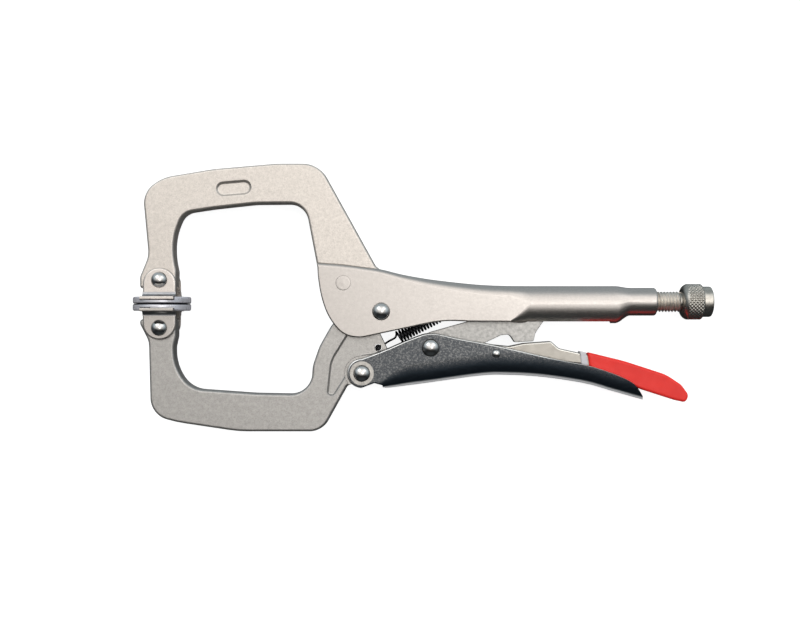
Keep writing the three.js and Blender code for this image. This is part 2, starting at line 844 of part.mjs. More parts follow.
add('upper_jaw', upperJaw(), NICKEL, 0.45, 0.9);
add('lower_jaw', lowerJaw(), FORGED, 0.5, 0.9);
add('fixed_handle', fixedHandle(), NICKEL, 0.32, 0.95);
add('jaw_plug', pin(JAW_PLUG, PLUG_RADIUS, -HANDLE_OUTER, HANDLE_OUTER), NICKEL, 0.4, 0.9);
add('main_pivot_rivet', rivet(MAIN_PIVOT, MAIN_RIVET, HANDLE_OUTER), POLISHED, 0.12, 1);
add('lever_handle', leverHandle(), DARK_STEEL, 0.4, 0.9);
add('lever_pivot_rivet', rivet(LEVER_PIVOT, LEVER_RIVET, LEVER_OUTER), POLISHED, 0.12, 1);
add('toggle_link', toggleLink(), 0x9a9a95, 0.5, 0.85);
add('link_pivot_rivet', rivet(LINK_PIVOT, LINK_RIVET, LEVER_OUTER), POLISHED, 0.12, 1);
add('release_lever', releaseLever(), 0xc3bcae, 0.35, 0.9);
add('release_lever_pin', rivet(RELEASE_PIVOT, RELEASE_RIVET, LEVER_OUTER), POLISHED, 0.2, 1);
add('grip_collar', gripCollar(), 0xc4ccd0, 0.4, 0.2);
add('grip_sleeve', gripSleeve(), RED_VINYL, 0.4, 0);
add('adjusting_screw', adjustingScrew(), 0x9d968a, 0.35, 0.95);
add('screw_tip', screwTip(), 0x77746e, 0.4, 0.95);
add('tension_spring', tensionSpring(), 0x1b1c1e, 0.4, 0.8);
[['upper', UPPER_PAD_PIVOT, 1], ['lower', LOWER_PAD_PIVOT, -1]].forEach(([name, pivot, side]) => {
  add(`${name}_pad_disc`, padDisc(pivot, side), 0xbdb7bf, 0.2, 1);
  add(`${name}_pad_bracket`, padBracket(pivot, side), 0xc8c2c4, 0.25, 1);
  add(`${name}_pad_rivet`, rivet(pivot, PAD_RIVET, BRACKET_INNER + BRACKET_WALL), POLISHED, 0.12, 1);
});

const bounds = new THREE.Box3().setFromObject(clamp);
const middle = bounds.getCenter(new THREE.Vector3());
clamp.position.set(-middle.x, -middle.y, -bounds.min.z);

const group = new THREE.Group();
group.add(clamp);
export default group;
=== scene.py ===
import math

import bpy
from mathutils import Matrix, Vector

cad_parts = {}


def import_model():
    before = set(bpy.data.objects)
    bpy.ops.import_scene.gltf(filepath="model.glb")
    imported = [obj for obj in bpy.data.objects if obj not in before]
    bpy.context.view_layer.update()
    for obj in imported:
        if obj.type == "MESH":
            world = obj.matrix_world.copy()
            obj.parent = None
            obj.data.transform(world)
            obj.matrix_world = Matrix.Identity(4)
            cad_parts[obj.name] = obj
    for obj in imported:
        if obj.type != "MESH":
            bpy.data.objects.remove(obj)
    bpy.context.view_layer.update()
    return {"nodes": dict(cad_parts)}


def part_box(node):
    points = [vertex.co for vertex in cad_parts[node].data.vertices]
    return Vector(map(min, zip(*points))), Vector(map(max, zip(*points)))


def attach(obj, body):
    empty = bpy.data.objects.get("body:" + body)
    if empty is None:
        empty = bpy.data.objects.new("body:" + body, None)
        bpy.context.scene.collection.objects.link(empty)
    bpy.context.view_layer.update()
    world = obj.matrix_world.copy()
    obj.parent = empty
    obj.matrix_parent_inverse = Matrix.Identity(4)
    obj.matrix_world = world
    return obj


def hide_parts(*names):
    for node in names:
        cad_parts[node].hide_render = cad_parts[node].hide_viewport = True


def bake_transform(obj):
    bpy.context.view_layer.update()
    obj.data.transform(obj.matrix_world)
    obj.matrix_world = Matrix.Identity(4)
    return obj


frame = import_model()

# Locking C clamp, built in millimetres around the main pivot and then placed in the frame in metres.
# X runs along the handles towards the adjusting screw, Y from the lower jaw to the upper jaw,
# and z = 0 is the middle plane of the jaws. Each piece is the same on both sides of that plane,
# apart from the upper jaw's recess and the spring. Corners are written (x, y, fillet radius).
MM = 0.001
pivot_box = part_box("main_pivot_rivet")
ORIGIN = (Vector(pivot_box[0]) + Vector(pivot_box[1])) / 2

# Centres of the pins.
MAIN_PIVOT = (0, 0)
LEVER_PIVOT = (-9.2, -29.4)
LINK_PIVOT = (23.5, -17.2)
RELEASE_PIVOT = (54.6, -20.1)
UPPER_PAD_PIVOT = (-105.2, 15)
LOWER_PAD_PIVOT = (-105.25, -7.8)
JAW_PLUG = (-18, 13.5)

# Half thicknesses across the clamp, and the gauge of the pressings.
JAW_HALF = 5
HANDLE_HALF = 7.25
HANDLE_INNER = 5.15
LEVER_HALF = 6.55
LEVER_INNER = 4.55
WALL = 2.1
LINK_HALF = 2.5
RELEASE_HALF = 3.1
RELEASE_INNER = 1.9
COLLAR_HALF = 3.7
GRIP_HALF = 4.1

# Clearance round a pin, clearance under a rivet's head, half the length of a tool that cuts right through.
RUNNING_FIT = 0.08
HEAD_GAP = 0.06
THROUGH = 9

# Holes for the rivets' shanks.
MAIN_SHANK = 3.6
PLUG_SHANK = 3.45
LEVER_SHANK = 3.2
PAD_SHANK = 2.9
RELEASE_SHANK = 1.6

# Adjusting screw and the nozzle that it leaves.
SCREW_Y = 4.6
SCREW_PITCH = 1.5
THREAD_DEPTH = 0.75
SCREW_RADIUS = 4.9
SCREW_START = 98.6
SCREW_HEAD = 143.5
SCREW_END = 158
KNOB_RADIUS = 8.55
NOZZLE_START = 119
NOZZLE_END = 131.4
NOZZLE_RADIUS = 6.65

# Return spring: its two anchors, the coil's outer radius and the wire's radius.
SPRING_HOLE = (-1.5, -17.3)
SPRING_ANCHOR = (39.2, 3.6)
SPRING_RADIUS = 3.2
SPRING_WIRE = 0.5
SPRING_TURNS = 19
SPRING_EYE = 1.65

# Swivel pads, measured from the pad's pivot towards its face. The face stands a crown proud of its reach.
PAD_RADIUS = 13.75
PAD_REACH = 11.25
PAD_RIM_HEIGHT = 3.2
PAD_DISH_HEIGHT = 1.5
BRACKET_INNER = 5.25
BRACKET_WALL = 1.6
BRACKET_HALF = 7.85
BRACKET_TOP = 5.7
BRACKET_FOOT = 13.2
PAD_GAP = 0.3
PAD_CROWN = 0.12


# ---------------------------------------------------------------- outlines

def arc(centre, radius, start, end, step=6):
    """Points on a circle from start to end, in degrees."""
    count = max(2, math.ceil(abs(end - start) / step))
    angles = [math.radians(start + (end - start) * i / count) for i in range(count + 1)]
    return [(centre[0] + radius * math.cos(a), centre[1] + radius * math.sin(a)) for a in angles]


def rounded(corners, step=6):
    """An outline with a fillet at each corner (x, y, radius); a corner (x, y) stays sharp."""
    outline = []
    count = len(corners)
    for i, corner in enumerate(corners):
        here = Vector(corner[:2])
        back = (Vector(corners[i - 1][:2]) - here).normalized()
        ahead = (Vector(corners[(i + 1) % count][:2]) - here).normalized()
        half = math.acos(max(-1, min(1, back.dot(ahead)))) / 2
        radius = corner[2] if len(corner) > 2 else 0
        setback = radius / math.tan(half)
        if setback < 0.05:
            outline.append(tuple(here))
            continue
        centre = here + (back + ahead).normalized() * radius / math.sin(half)
        first = here + back * setback - centre
        turn = math.degrees(first.angle_signed(here + ahead * setback - centre))
        start = math.degrees(math.atan2(first.y, first.x))
        outline += arc(centre, radius, start, start - turn, step)
    return outline


def catmull(points, steps=6):
    """A smooth curve through points of any dimension."""
    curve = []
    for i in range(len(points) - 1):
        quad = [Vector(points[max(0, min(len(points) - 1, i + k))]) for k in (-1, 0, 1, 2)]
        for s in range(steps):
            t = s / steps
            v0 = (quad[2] - quad[0]) / 2
            v1 = (quad[3] - quad[1]) / 2
            curve.append(tuple(
                (2 * quad[1] - 2 * quad[2] + v0 + v1) * t ** 3
                + (-3 * quad[1] + 3 * quad[2] - 2 * v0 - v1) * t ** 2 + v0 * t + quad[1]))
    curve.append(tuple(points[-1]))
    return curve


def grown(outline, amount):
    """The outline moved outwards by amount, along the mitre at each point."""
    area = sum(a[0] * b[1] - b[0] * a[1] for a, b in zip(outline, outline[1:] + outline[:1]))
    side = 1 if area > 0 else -1
    moved = []
    for i, point in enumerate(outline):
        here = Vector(point)
        before = (here - Vector(outline[i - 1])).normalized()
        after = (Vector(outline[(i + 1) % len(outline)]) - here).normalized()
        n1 = Vector((before.y, -before.x)) * side
        n2 = Vector((after.y, -after.x)) * side
        mitre = (n1 + n2) / max(0.4, 1 + n1.dot(n2))
        moved.append(tuple(here + mitre * amount))
    return moved


# ---------------------------------------------------------------- solids, in millimetres

def solid(name, verts, faces):
    """An object of these faces, turned outwards."""
    mesh = bpy.data.meshes.new(name)
    mesh.from_pydata([tuple(v) for v in verts], [], faces)
    mesh.update()
    obj = bpy.data.objects.new(name, mesh)
    bpy.context.scene.collection.objects.link(obj)
    volume = 0
    mesh.calc_loop_triangles()
    for tri in mesh.loop_triangles:
        a, b, c = (mesh.vertices[i].co for i in tri.vertices)
        volume += a.dot(b.cross(c))
    if volume < 0:
        mesh.flip_normals()
    return obj


def skin(name, rings):
    """A solid skinned over rings of equal length, flat at both ends."""
    count = len(rings[0])
    faces = []
    for r in range(len(rings) - 1):
        for i in range(count):
            j = (i + 1) % count
            faces.append((r * count + i, r * count + j, (r + 1) * count + j, (r + 1) * count + i))
    faces.append(tuple(range(count))[::-1])
    faces.append(tuple(range((len(rings) - 1) * count, len(rings) * count)))
    return solid(name, [v for ring in rings for v in ring], faces)


def prism(name, outline, levels):
    """An outline in XY carried through levels, each an outward offset and a height (offset, z)."""
    return skin(name, [[(x, y, z) for x, y in grown(outline, offset)] for offset, z in levels])


def soft_levels(z0, z1, radius, steps=4):
    """Levels of a plate from z0 to z1 whose edges are rounded to that radius."""
    quarter = [math.radians(90 * i / steps) for i in range(steps + 1)]
    low = [(radius * (math.sin(a) - 1), z0 + radius * (1 - math.cos(a))) for a in quarter]
    high = [(offset, z0 + z1 - z) for offset, z in reversed(low)]
    return low + high


def turned(name, profile, axis, centre, segments=48):
    """A solid of revolution; the profile is a list of (distance along the axis, radius)."""
    rings = []
    for a, r in profile:
        ring = []
        for i in range(segments):
            turn = 2 * math.pi * i / segments
            c = max(r, 1e-4) * math.cos(turn)
            s = max(r, 1e-4) * math.sin(turn)
            x, y, z = {"x": (a, c, s), "y": (s, a, c), "z": (c, s, a)}[axis]
            ring.append((x + centre[0], y + centre[1], z + centre[2]))
        rings.append(ring)
    return skin(name, rings)


def pin(centre, radius):
    """A round tool that passes right through the clamp."""
    return turned("pin", [(-THROUGH, radius), (THROUGH, radius)], "z", (*centre, 0))


def bore(centre, shank):
    """The tool for a shank's running hole."""
    return pin(centre, shank + RUNNING_FIT)


def block(x0, x1, y0, y1, z0, z1):
    outline = [(x0, y0), (x1, y0), (x1, y1), (x0, y1)]
    return prism("block", outline, [(0, z0), (0, z1)])


def settle(obj):
    """Makes the modifiers part of the mesh."""
    bpy.context.view_layer.update()
    depsgraph = bpy.context.evaluated_depsgraph_get()
    mesh = bpy.data.meshes.new_from_object(obj.evaluated_get(depsgraph))
    obj.modifiers.clear()
    obj.data = mesh
    return obj


def combine(body, operation, *tools):
    """Joins, cuts or trims the body with each tool in turn, and uses the tools up."""
    for tool in tools:
        modifier = body.modifiers.new("shape", "BOOLEAN")
        modifier.operation = operation
        modifier.solver = "MANIFOLD"
        modifier.object = tool
        settle(body)
        bpy.data.objects.remove(tool)
    return body


def cut(body, *tools):
    return combine(body, "DIFFERENCE", *tools)


def union(body, *tools):
    return combine(body, "UNION", *tools)


def overlap(body, *tools):
    return combine(body, "INTERSECT", *tools)


def place(obj, name, body, slot, *materials, nodes=(), crease=32, ride=True):
    """Shades a finished solid, moves it into the frame and puts it on its body.

    Edges that turn by more than the crease, in degrees, stay sharp.
    """
    obj.name = name
    obj.data.name = name
    for i, material in enumerate(materials):
        if i < len(obj.data.materials):
            obj.data.materials[i] = material
        else:
            obj.data.materials.append(material)
    for polygon in obj.data.polygons:
        polygon.use_smooth = True
    obj.data.set_sharp_from_angle(angle=math.radians(crease))
    weighted = obj.modifiers.new("normals", "WEIGHTED_NORMAL")
    weighted.keep_sharp = True
    settle(obj)
    obj.data.transform(Matrix.Translation(ORIGIN) @ Matrix.Scale(MM, 4))
    if ride:
        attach(obj, body)
    if nodes:
        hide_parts(*nodes)
    return obj


# ---------------------------------------------------------------- materials

class Shade:
    """A Principled material with helpers for its node tree."""

    def __init__(self, name, metallic, roughness, **sockets):
        self.material = bpy.data.materials.new(name)
        self.material.use_nodes = True
        self.tree = self.material.node_tree
        self.shader = self.tree.nodes["Principled BSDF"]
        self.shader.inputs["Metallic"].default_value = metallic
        self.shader.inputs["Roughness"].default_value = roughness
        for socket, value in sockets.items():
            self.shader.inputs[socket.replace("_", " ")].default_value = value
        self.coords = self.tree.nodes.new("ShaderNodeTexCoord").outputs["Object"]

    def node(self, kind, **values):
        node = self.tree.nodes.new(kind)
        for key, value in values.items():
            setattr(node, key, value)
        return node

    def noise(self, size_mm, detail=3, roughness=0.55):
        """Noise fixed to the piece, with patches of about this size."""
        mapping = self.node("ShaderNodeMapping")
        noise = self.node("ShaderNodeTexNoise")
        noise.inputs["Scale"].default_value = 1 / (size_mm * MM)
        noise.inputs["Detail"].default_value = detail
        noise.inputs["Roughness"].default_value = roughness
        self.tree.links.new(self.coords, mapping.inputs["Vector"])
        self.tree.links.new(mapping.outputs["Vector"], noise.inputs["Vector"])
        return noise.outputs["Fac"]

    def spread(self, value, low, high, start=0.3, end=0.7):
        """Maps a texture's value to the range low to high."""
        node = self.node("ShaderNodeMapRange")
        for key, number in (("From Min", start), ("From Max", end), ("To Min", low), ("To Max", high)):
            node.inputs[key].default_value = number
        self.tree.links.new(value, node.inputs["Value"])
        return node.outputs["Result"]

    def mix(self, factor, first, second):
        """A colour between two tones; each is a socket or (red, green, blue)."""
        node = self.node("ShaderNodeMix", data_type="RGBA")
        for socket, value in ((node.inputs[0], factor), (node.inputs[6], first), (node.inputs[7], second)):
            if isinstance(value, bpy.types.NodeSocket):
                self.tree.links.new(value, socket)
            else:
                socket.default_value = (*value, 1)
        return node.outputs[2]

    def product(self, first, second):
        node = self.node("ShaderNodeMath", operation="MULTIPLY")
        self.tree.links.new(first, node.inputs[0])
        self.tree.links.new(second, node.inputs[1])
        return node.outputs[0]

    def color(self, socket):
        self.tree.links.new(socket, self.shader.inputs["Base Color"])

    def rough(self, socket):
        self.tree.links.new(socket, self.shader.inputs["Roughness"])

    def bump(self, *layers):
        """Each layer is (height socket, depth in millimetres)."""
        normal = None
        for height, depth in layers:
            node = self.node("ShaderNodeBump")
            node.inputs["Strength"].default_value = 1
            node.inputs["Distance"].default_value = depth * MM
            self.tree.links.new(height, node.inputs["Height"])
            if normal:
                self.tree.links.new(normal, node.inputs["Normal"])
            normal = node.outputs["Normal"]
        self.tree.links.new(normal, self.shader.inputs["Normal"])


PIT_SHADE = 0.8


def plated(name, light, dark, roughness, grain_mm, depth_mm, mottle_mm, metallic=1.0, speck=0.35):
    """Plated steel with a fine grain, soft mottling from light to dark, darker specks and uneven gloss."""
    shade = Shade(name, metallic, roughness)
    patches = shade.spread(shade.noise(mottle_mm, 4), 0, 1)
    grain = shade.noise(grain_mm, 2)
    body = shade.mix(patches, dark, light)
    pits = shade.spread(grain, 0, speck, 0.45, 0.75)
    shade.color(shade.mix(pits, body, tuple(tone * PIT_SHADE for tone in dark)))
    shade.rough(shade.spread(shade.noise(mottle_mm * 0.6, 3), roughness - 0.05, roughness + 0.06))
    shade.bump((grain, depth_mm), (shade.noise(grain_mm * 3.5, 2), depth_mm * 1.4))
    return shade.material


# Light tone, dark tone, roughness, size and depth of the grain, size of the mottling (in millimetres),
# metallic, strength of the specks.
STEELS = {
    "jaw_nickel": ((0.60, 0.553, 0.508), (0.515, 0.476, 0.436), 0.42, 0.5, 0.014, 1.6, 0.86, 0.8),
    # The lower jaw's copy of the jaw nickel: partly its own greyer tone, partly painted shade, since the
    # light falls from +Y.
    "jaw_forged": ((0.43, 0.413, 0.394), (0.35, 0.337, 0.32), 0.42, 0.5, 0.016, 1.6, 0.86, 0.8),
    "handle_nickel": ((0.455, 0.425, 0.40), (0.41, 0.383, 0.36), 0.34, 0.5, 0.0011, 1.2),
    # Painted highlight for the lever's upper edges; the ear's rim takes the same lighter tone.
    "lever_rim_highlight": ((0.80, 0.78, 0.75), (0.62, 0.61, 0.60), 0.30, 0.3, 0.006, 3),
    "lever_boss": ((0.42, 0.40, 0.37), (0.27, 0.26, 0.245), 0.30, 0.3, 0.008, 2),
    "link_steel": ((0.425, 0.413, 0.396), (0.265, 0.262, 0.252), 0.42, 0.4, 0.016, 1.8),
    "release_nickel": ((0.287, 0.27, 0.243), (0.248, 0.234, 0.21), 0.34, 0.3, 0.006, 5),
    # Painted highlight for the release lever's edges that face the light.
    "release_rim_highlight": ((0.84, 0.80, 0.74), (0.76, 0.72, 0.66), 0.34, 0.3, 0.006, 5),
    "rivet_chrome": ((0.57, 0.555, 0.54), (0.51, 0.50, 0.485), 0.12, 0.3, 0.0003, 3),
    "screw_steel": ((0.455, 0.43, 0.39), (0.345, 0.327, 0.295), 0.30, 0.25, 0.004, 2.5),
    "thread_steel": ((0.75, 0.705, 0.645), (0.63, 0.59, 0.54), 0.48, 0.25, 0.004, 2.5),
    "spring_black": ((0.035, 0.035, 0.038), (0.015, 0.015, 0.017), 0.34, 0.3, 0.003, 2, 0.9),
    "pad_steel": ((0.62, 0.61, 0.65), (0.54, 0.53, 0.575), 0.30, 0.3, 0.003, 3, 0.5),
    # Painted shadow for the gap where the two pads meet.
    "pad_gap_shadow": ((0.035, 0.035, 0.04), (0.02, 0.02, 0.024), 0.45, 0.4, 0.004, 2, 0.8),
    # Painted shade for the bend between a bracket's ears and its foot.
    "fold_shade": ((0.33, 0.33, 0.34), (0.26, 0.26, 0.27), 0.32, 0.3, 0.003, 2),
    "bracket_steel": ((0.61, 0.56, 0.52), (0.55, 0.505, 0.467), 0.30, 0.3, 0.003, 3, 0.8),
    # A darker copy of bracket_steel for the lower pad: painted shade.
    "bracket_shaded": ((0.46, 0.43, 0.40), (0.41, 0.38, 0.355), 0.30, 0.3, 0.003, 3, 0.8),
}
steels = {name: plated(name, *finish) for name, finish in STEELS.items()}


def dark_lever():
    """Dark mottled steel, with painted shade that turns it nearly black under the belly and a painted
    reflection as a bright line along each lower edge.
    """
    shade = Shade("lever_dark", 1, 0.36)
    grain = shade.noise(0.45, 3)
    mottle = shade.spread(shade.noise(1.2, 4), 0, 1)
    speckle = shade.spread(shade.noise(0.8, 2, roughness=0.8), 0, 1, 0.48, 0.66)
    side = shade.mix(mottle, (0.046, 0.052, 0.058), (0.082, 0.085, 0.09))
    side = shade.mix(speckle, side, (0.17, 0.171, 0.17))
    facing = shade.node("ShaderNodeSeparateXYZ")
    shade.tree.links.new(shade.node("ShaderNodeTexCoord").outputs["Normal"], facing.inputs[0])
    # The slope is 0 on the upright sides and -1 underneath.
    slope = facing.outputs["Y"]
    # Painted shade: faces that turn downwards, under the belly, take a dark bluish tone in place of the
    # speckled side.
    under = shade.spread(slope, 1, 0, -0.29, -0.09)
    # Painted reflection of the floor: a bright band on the lower rounding, made almost non-metallic there so
    # that it stays light.
    painted_reflection = shade.product(shade.spread(slope, 1, 0, -0.75, -0.62), shade.spread(slope, 0, 1, -0.985, -0.94))
    body = shade.mix(under, side, (0.058, 0.076, 0.097))
    shade.color(shade.mix(painted_reflection, body, (0.72, 0.725, 0.74)))
    shade.tree.links.new(shade.spread(painted_reflection, 1, 0.1, 0, 1), shade.shader.inputs["Metallic"])
    shade.rough(shade.spread(mottle, 0.32, 0.44, 0, 1))
    shade.bump((grain, 0.012), (shade.noise(1.6, 2), 0.014))
    return shade.material


def vinyl():
    """Red dipped vinyl with a soft sheen and slightly uneven skin."""
    shade = Shade("grip_red", 0, 0.42, Specular_IOR_Level=0.28)
    tone = shade.spread(shade.noise(9, 3), 0, 1)
    shade.color(shade.mix(tone, (0.70, 0.024, 0.018), (0.78, 0.032, 0.024)))
    shade.rough(shade.spread(shade.noise(2.5, 3), 0.38, 0.52))
    shade.bump((shade.noise(0.5, 3), 0.012), (shade.noise(5, 2), 0.06))
    return shade.material


def plastic():
    """Pale grey moulded plastic."""
    shade = Shade("collar_plastic", 0, 0.45)
    shade.color(shade.mix(shade.noise(2, 3), (0.50, 0.495, 0.515), (0.59, 0.575, 0.59)))
    shade.rough(shade.spread(shade.noise(1.5, 2), 0.4, 0.55))
    shade.bump((shade.noise(0.3, 2), 0.006))
    return shade.material


lever_dark = dark_lever()
grip_red = vinyl()
collar_plastic = plastic()


# ---------------------------------------------------------------- jaws

FORGED_DRAFT = 0.22
JAW_EDGE = 1.2
PARTING_RIDGE = 0.14
PARTING_WIDTH = 0.7
ARM_END = 4.2

UPPER_ROOT_RADIUS = 11.4
LOWER_ROOT_RADIUS = 10.2

# Obround recess on the near side of the upper jaw.
RECESS_CENTRE = (-70.2, 58.6)
RECESS_ANGLE = 5
RECESS_SPREAD = 4.95
RECESS_RADIUS = 3.5
RECESS_WALL = [(-1.35, -0.95), (-1, -0.9), (-0.75, -0.76), (-0.15, -0.2), (0, -0.07), (0.3, 0.02), (0.3, 1)]

# Hollow on both sides of the lower jaw, and the round seat in it for the lever's ears.
POCKET_FLOOR = 3.9
POCKET_WALL = [(-0.9, 0), (-0.55, 0.06), (-0.25, 0.28), (-0.05, 0.7), (0.12, 0.92), (0.4, 1.1), (0.4, 2.5)]
POCKET_ROOT = 10.6
SEAT_FLOOR = 4.4
SEAT_RADIUS = 8.3
SEAT_WALL = [
    (SEAT_FLOOR, 8.1), (SEAT_FLOOR + 0.08, 8.25), (JAW_HALF - 0.1, 8.35), (JAW_HALF + 0.05, 8.6),
    (JAW_HALF + 1.4, 8.6),
]


def forged_levels():
    """Levels of a forged arm: rounded edges, drafted sides and a ground parting line."""
    edge = [(offset - FORGED_DRAFT, z) for offset, z in soft_levels(-JAW_HALF, JAW_HALF, JAW_EDGE)]
    middle = len(edge) // 2
    ridge = [
        (-PARTING_RIDGE, -PARTING_WIDTH), (0, -PARTING_WIDTH / 2), (0, PARTING_WIDTH / 2),
        (-PARTING_RIDGE, PARTING_WIDTH)]
    return edge[:middle] + ridge + edge[middle:]


def upper_jaw():
    px, py = UPPER_PAD_PIVOT
    tip = py - ARM_END
    root = arc(MAIN_PIVOT, UPPER_ROOT_RADIUS, 86.9, 151.2)
    corners = [
        (px - 9.9, tip, 1.5), (px - 9.9, py + 1.5, 5), (-111, 26.5, 12), (-113.8, 56.7, 11.5),
        (-104.5, 63.9, 20), (-80, 68, 60), (-50, 70.6, 60), (-29.7, 70.6, 13), (-2.6, 21.6, 3.5),
        (0.6, 19.2), *root, (-25, 5.5, 3), (-29.3, 14, 6), (-36.4, 51.3, 9), (-60, 51.1, 40),
        (-80, 48.9, 60), (-94, 46.8, 7.5), (-98.9, 36, 30), (-98.5, 25, 30), (px + 7.9, py + 4, 6),
        (px + 7.7, tip, 1.5),
    ]
    arm = prism("upper_jaw", rounded(corners), forged_levels())
    obround = arc((RECESS_SPREAD, 0), RECESS_RADIUS, -90, 90)
    obround += arc((-RECESS_SPREAD, 0), RECESS_RADIUS, 90, 270)
    recess = prism("recess", obround, [(offset, JAW_HALF + z) for offset, z in RECESS_WALL])
    tilt = Matrix.Rotation(math.radians(RECESS_ANGLE), 4, "Z")
    recess.data.transform(Matrix.Translation((*RECESS_CENTRE, 0)) @ tilt)
    return cut(arm, recess, bore(UPPER_PAD_PIVOT, PAD_SHANK), bore(JAW_PLUG, PLUG_SHANK))


def lower_jaw():
    px, py = LOWER_PAD_PIVOT
    tip = py + ARM_END
    root = arc(MAIN_PIVOT, LOWER_ROOT_RADIUS, 165.1, -94.1)
    corners = [
        (px + 7.7, tip, 1.5), (px + 7.8, py - 4, 6), (-98.6, -17, 8), (-98.5, -26, 22), (-91, -36.8, 13),
        (-60, -39, 80), (-33.6, -39.5, 10), (-32.9, -26, 14), (-29.6, -16.6, 20), (-23.2, -5.4, 20),
        (-18, -1, 4), *root, (3.2, -18.4, 1.5), (-1.6, -23.5, 4), (-3, -34.6, 6), (-15.8, -35, 3),
        (-28.2, -57.4, 10), (-68, -57.4, 60), (-97.5, -53, 60), (-106.1, -50.6, 10.5), (-110.1, -44.5, 11),
        (-110.9, -14.3, 10), (px - 9.8, py + 1.6, 3), (px - 9.9, tip, 1.5),
    ]
    arm = prism("lower_jaw", rounded(corners), forged_levels())
    pocket = rounded([
        (-10, -3), (-13.6, -6.6), (-24, -23.5, 14), (-25.8, -40.6, 1.7), (-22.4, -39.6, 1.7), (-15, -28),
        (-9.2, -21.2), (-4, -20.5, 3), (14, -13.8), (14, -3)])
    seat = rounded([(-9.2, -21.1), (-5, -20.8), (14, -14), (14, -42), (-9.2, -42)])
    for side in (1, -1):
        hollow = prism("pocket", pocket, [(offset, side * (POCKET_FLOOR + z)) for offset, z in POCKET_WALL])
        cut(hollow, pin(LEVER_PIVOT, SEAT_RADIUS))
        ledge = prism("seat", seat, [(0, side * SEAT_FLOOR), (0, side * (JAW_HALF + 1.5))])
        ring = turned("seat_ring", [(side * z, r) for z, r in SEAT_WALL], "z", (*LEVER_PIVOT, 0))
        union(hollow, union(ledge, ring))
        cut(hollow, pin(MAIN_PIVOT, POCKET_ROOT))
        cut(arm, hollow)
    return cut(arm, bore(MAIN_PIVOT, MAIN_SHANK), bore(LEVER_PIVOT, LEVER_SHANK),
               bore(LOWER_PAD_PIVOT, PAD_SHANK), bore(SPRING_HOLE, SPRING_EYE))


place(upper_jaw(), "upper_jaw_forging", "frame", "jaw_nickel", steels["jaw_nickel"], nodes=["upper_jaw"])
# The lower jaw takes the darker copy: a greyer tone of its own and painted shade.
place(lower_jaw(), "lower_jaw_forging", "lower_jaw", "jaw_forged", steels["jaw_forged"], nodes=["lower_jaw"])


# ---------------------------------------------------------------- handle sections

def section(x, top, bottom, half, top_radius, bottom_radius, top_rise=None, bottom_rise=None):
    """A rounded rectangle across the handle at x; a corner may rise further up the side than its radius."""
    top_rise = top_rise or top_radius
    bottom_rise = bottom_rise or bottom_radius
    corners = (
        (half - bottom_radius, bottom + bottom_rise, bottom_radius, bottom_rise, -90),
        (half - top_radius, top - top_rise, top_radius, top_rise, 0),
        (top_radius - half, top - top_rise, top_radius, top_rise, 90),
        (bottom_radius - half, bottom + bottom_rise, bottom_radius, bottom_rise, 180),
    )
    return [(x, y + rise * up, z + radius * across)
            for z, y, radius, rise, start in corners
            for across, up in arc((0, 0), 1, start, start + 90, 9)]


# The handle's back as (x, height, corner radius), and the outline of its side round the jaws.
HANDLE_BACK = [
    (-31, 23.4, 2.2), (-20, 22.6, 2.2), (-10, 21.4, 2.2), (0, 19.9, 2.4), (10, 17.5, 2.8), (22, 15.4, 3.6),
    (35, 13.8, 4.4), (48, 12.6, 5), (61, 12.1, 5.4),
]
HANDLE_LOBE = [
    (-30.3, 24), (-29.9, 16), (-28.1, 6), (-24.6, -2.9), (-18.6, -10.1), (-11, -12.4), (-1.5, -10.8),
    (12.2, -7.9), (23.7, -5.5), (32.1, -4.6), (42, -4.9),
]
HANDLE_EDGE = 0.7
CHANNEL_END = 61
CHANNEL_BOTTOM = -5
BELOW = -20

# The pressing closes into a tube: height of its top and bottom, then its corners as in section().
TUBE_START = 70
TUBE_TOP = 12.1
TUBE_BOTTOM = -5.7
TUBE_CORNERS = (7, 6.9, 8.5, 8.9)
TUBE_BLEND = [
    (CHANNEL_END - 0.02, CHANNEL_BOTTOM, 5.4, 0.4, 5.4, 0.4), (64, -5.35, 5.8, 2.6, 6.2, 3.2),
    (67, -5.6, 6.2, 4.8, 7.1, 6.2), (TUBE_START, TUBE_BOTTOM, *TUBE_CORNERS),
]
TUBE_RINGS = 8

# From the shoulder on, the tube necks down to the round nozzle.
SHOULDER = 113
NECK_START = SHOULDER - 1
NECK_LENGTH = 7.2
NECK_RINGS = 10
NOZZLE_TIP = [(-0.9, 0), (-0.45, -0.12), (-0.12, -0.4), (0, -0.8)]

SLOT_HALF = 3.3
TAB_HALF = 0.8


def handle_walls(back):
    """The two walls and the back of the channel, trimmed to the lobe round the jaws."""
    walls = skin("fixed_handle", [section(x, top, -16, HANDLE_HALF, radius, 0.2) for x, top, radius in back])
    lobe = catmull(HANDLE_LOBE, 8)
    lobe += [(CHANNEL_END + 0.05, CHANNEL_BOTTOM), (CHANNEL_END + 3, CHANNEL_BOTTOM), (CHANNEL_END + 3, 28)]
    lobe.append((-30.3, 28))
    return overlap(walls, prism("lobe", lobe, soft_levels(-HANDLE_HALF, HANDLE_HALF, HANDLE_EDGE)))


def handle_tube():
    rings = [section(x, TUBE_TOP, bottom, HANDLE_HALF, *corners) for x, bottom, *corners in TUBE_BLEND]
    large = (TUBE_TOP, TUBE_BOTTOM, HANDLE_HALF, *TUBE_CORNERS)
    small = (SCREW_Y + NOZZLE_RADIUS, SCREW_Y - NOZZLE_RADIUS, NOZZLE_RADIUS, *[NOZZLE_RADIUS - 0.02] * 4)
    for i in range(1, TUBE_RINGS + 1):
        rings.append(section(TUBE_START + (NECK_START - TUBE_START) * i / TUBE_RINGS, *large))
    for i in range(1, NECK_RINGS + 1):
        t = i / NECK_RINGS
        ease = t * t * (3 - 2 * t)
        sizes = (a + (b - a) * ease for a, b in zip(large, small))
        rings.append(section(NECK_START + NECK_LENGTH * t, *sizes))
    return skin("tube", rings)


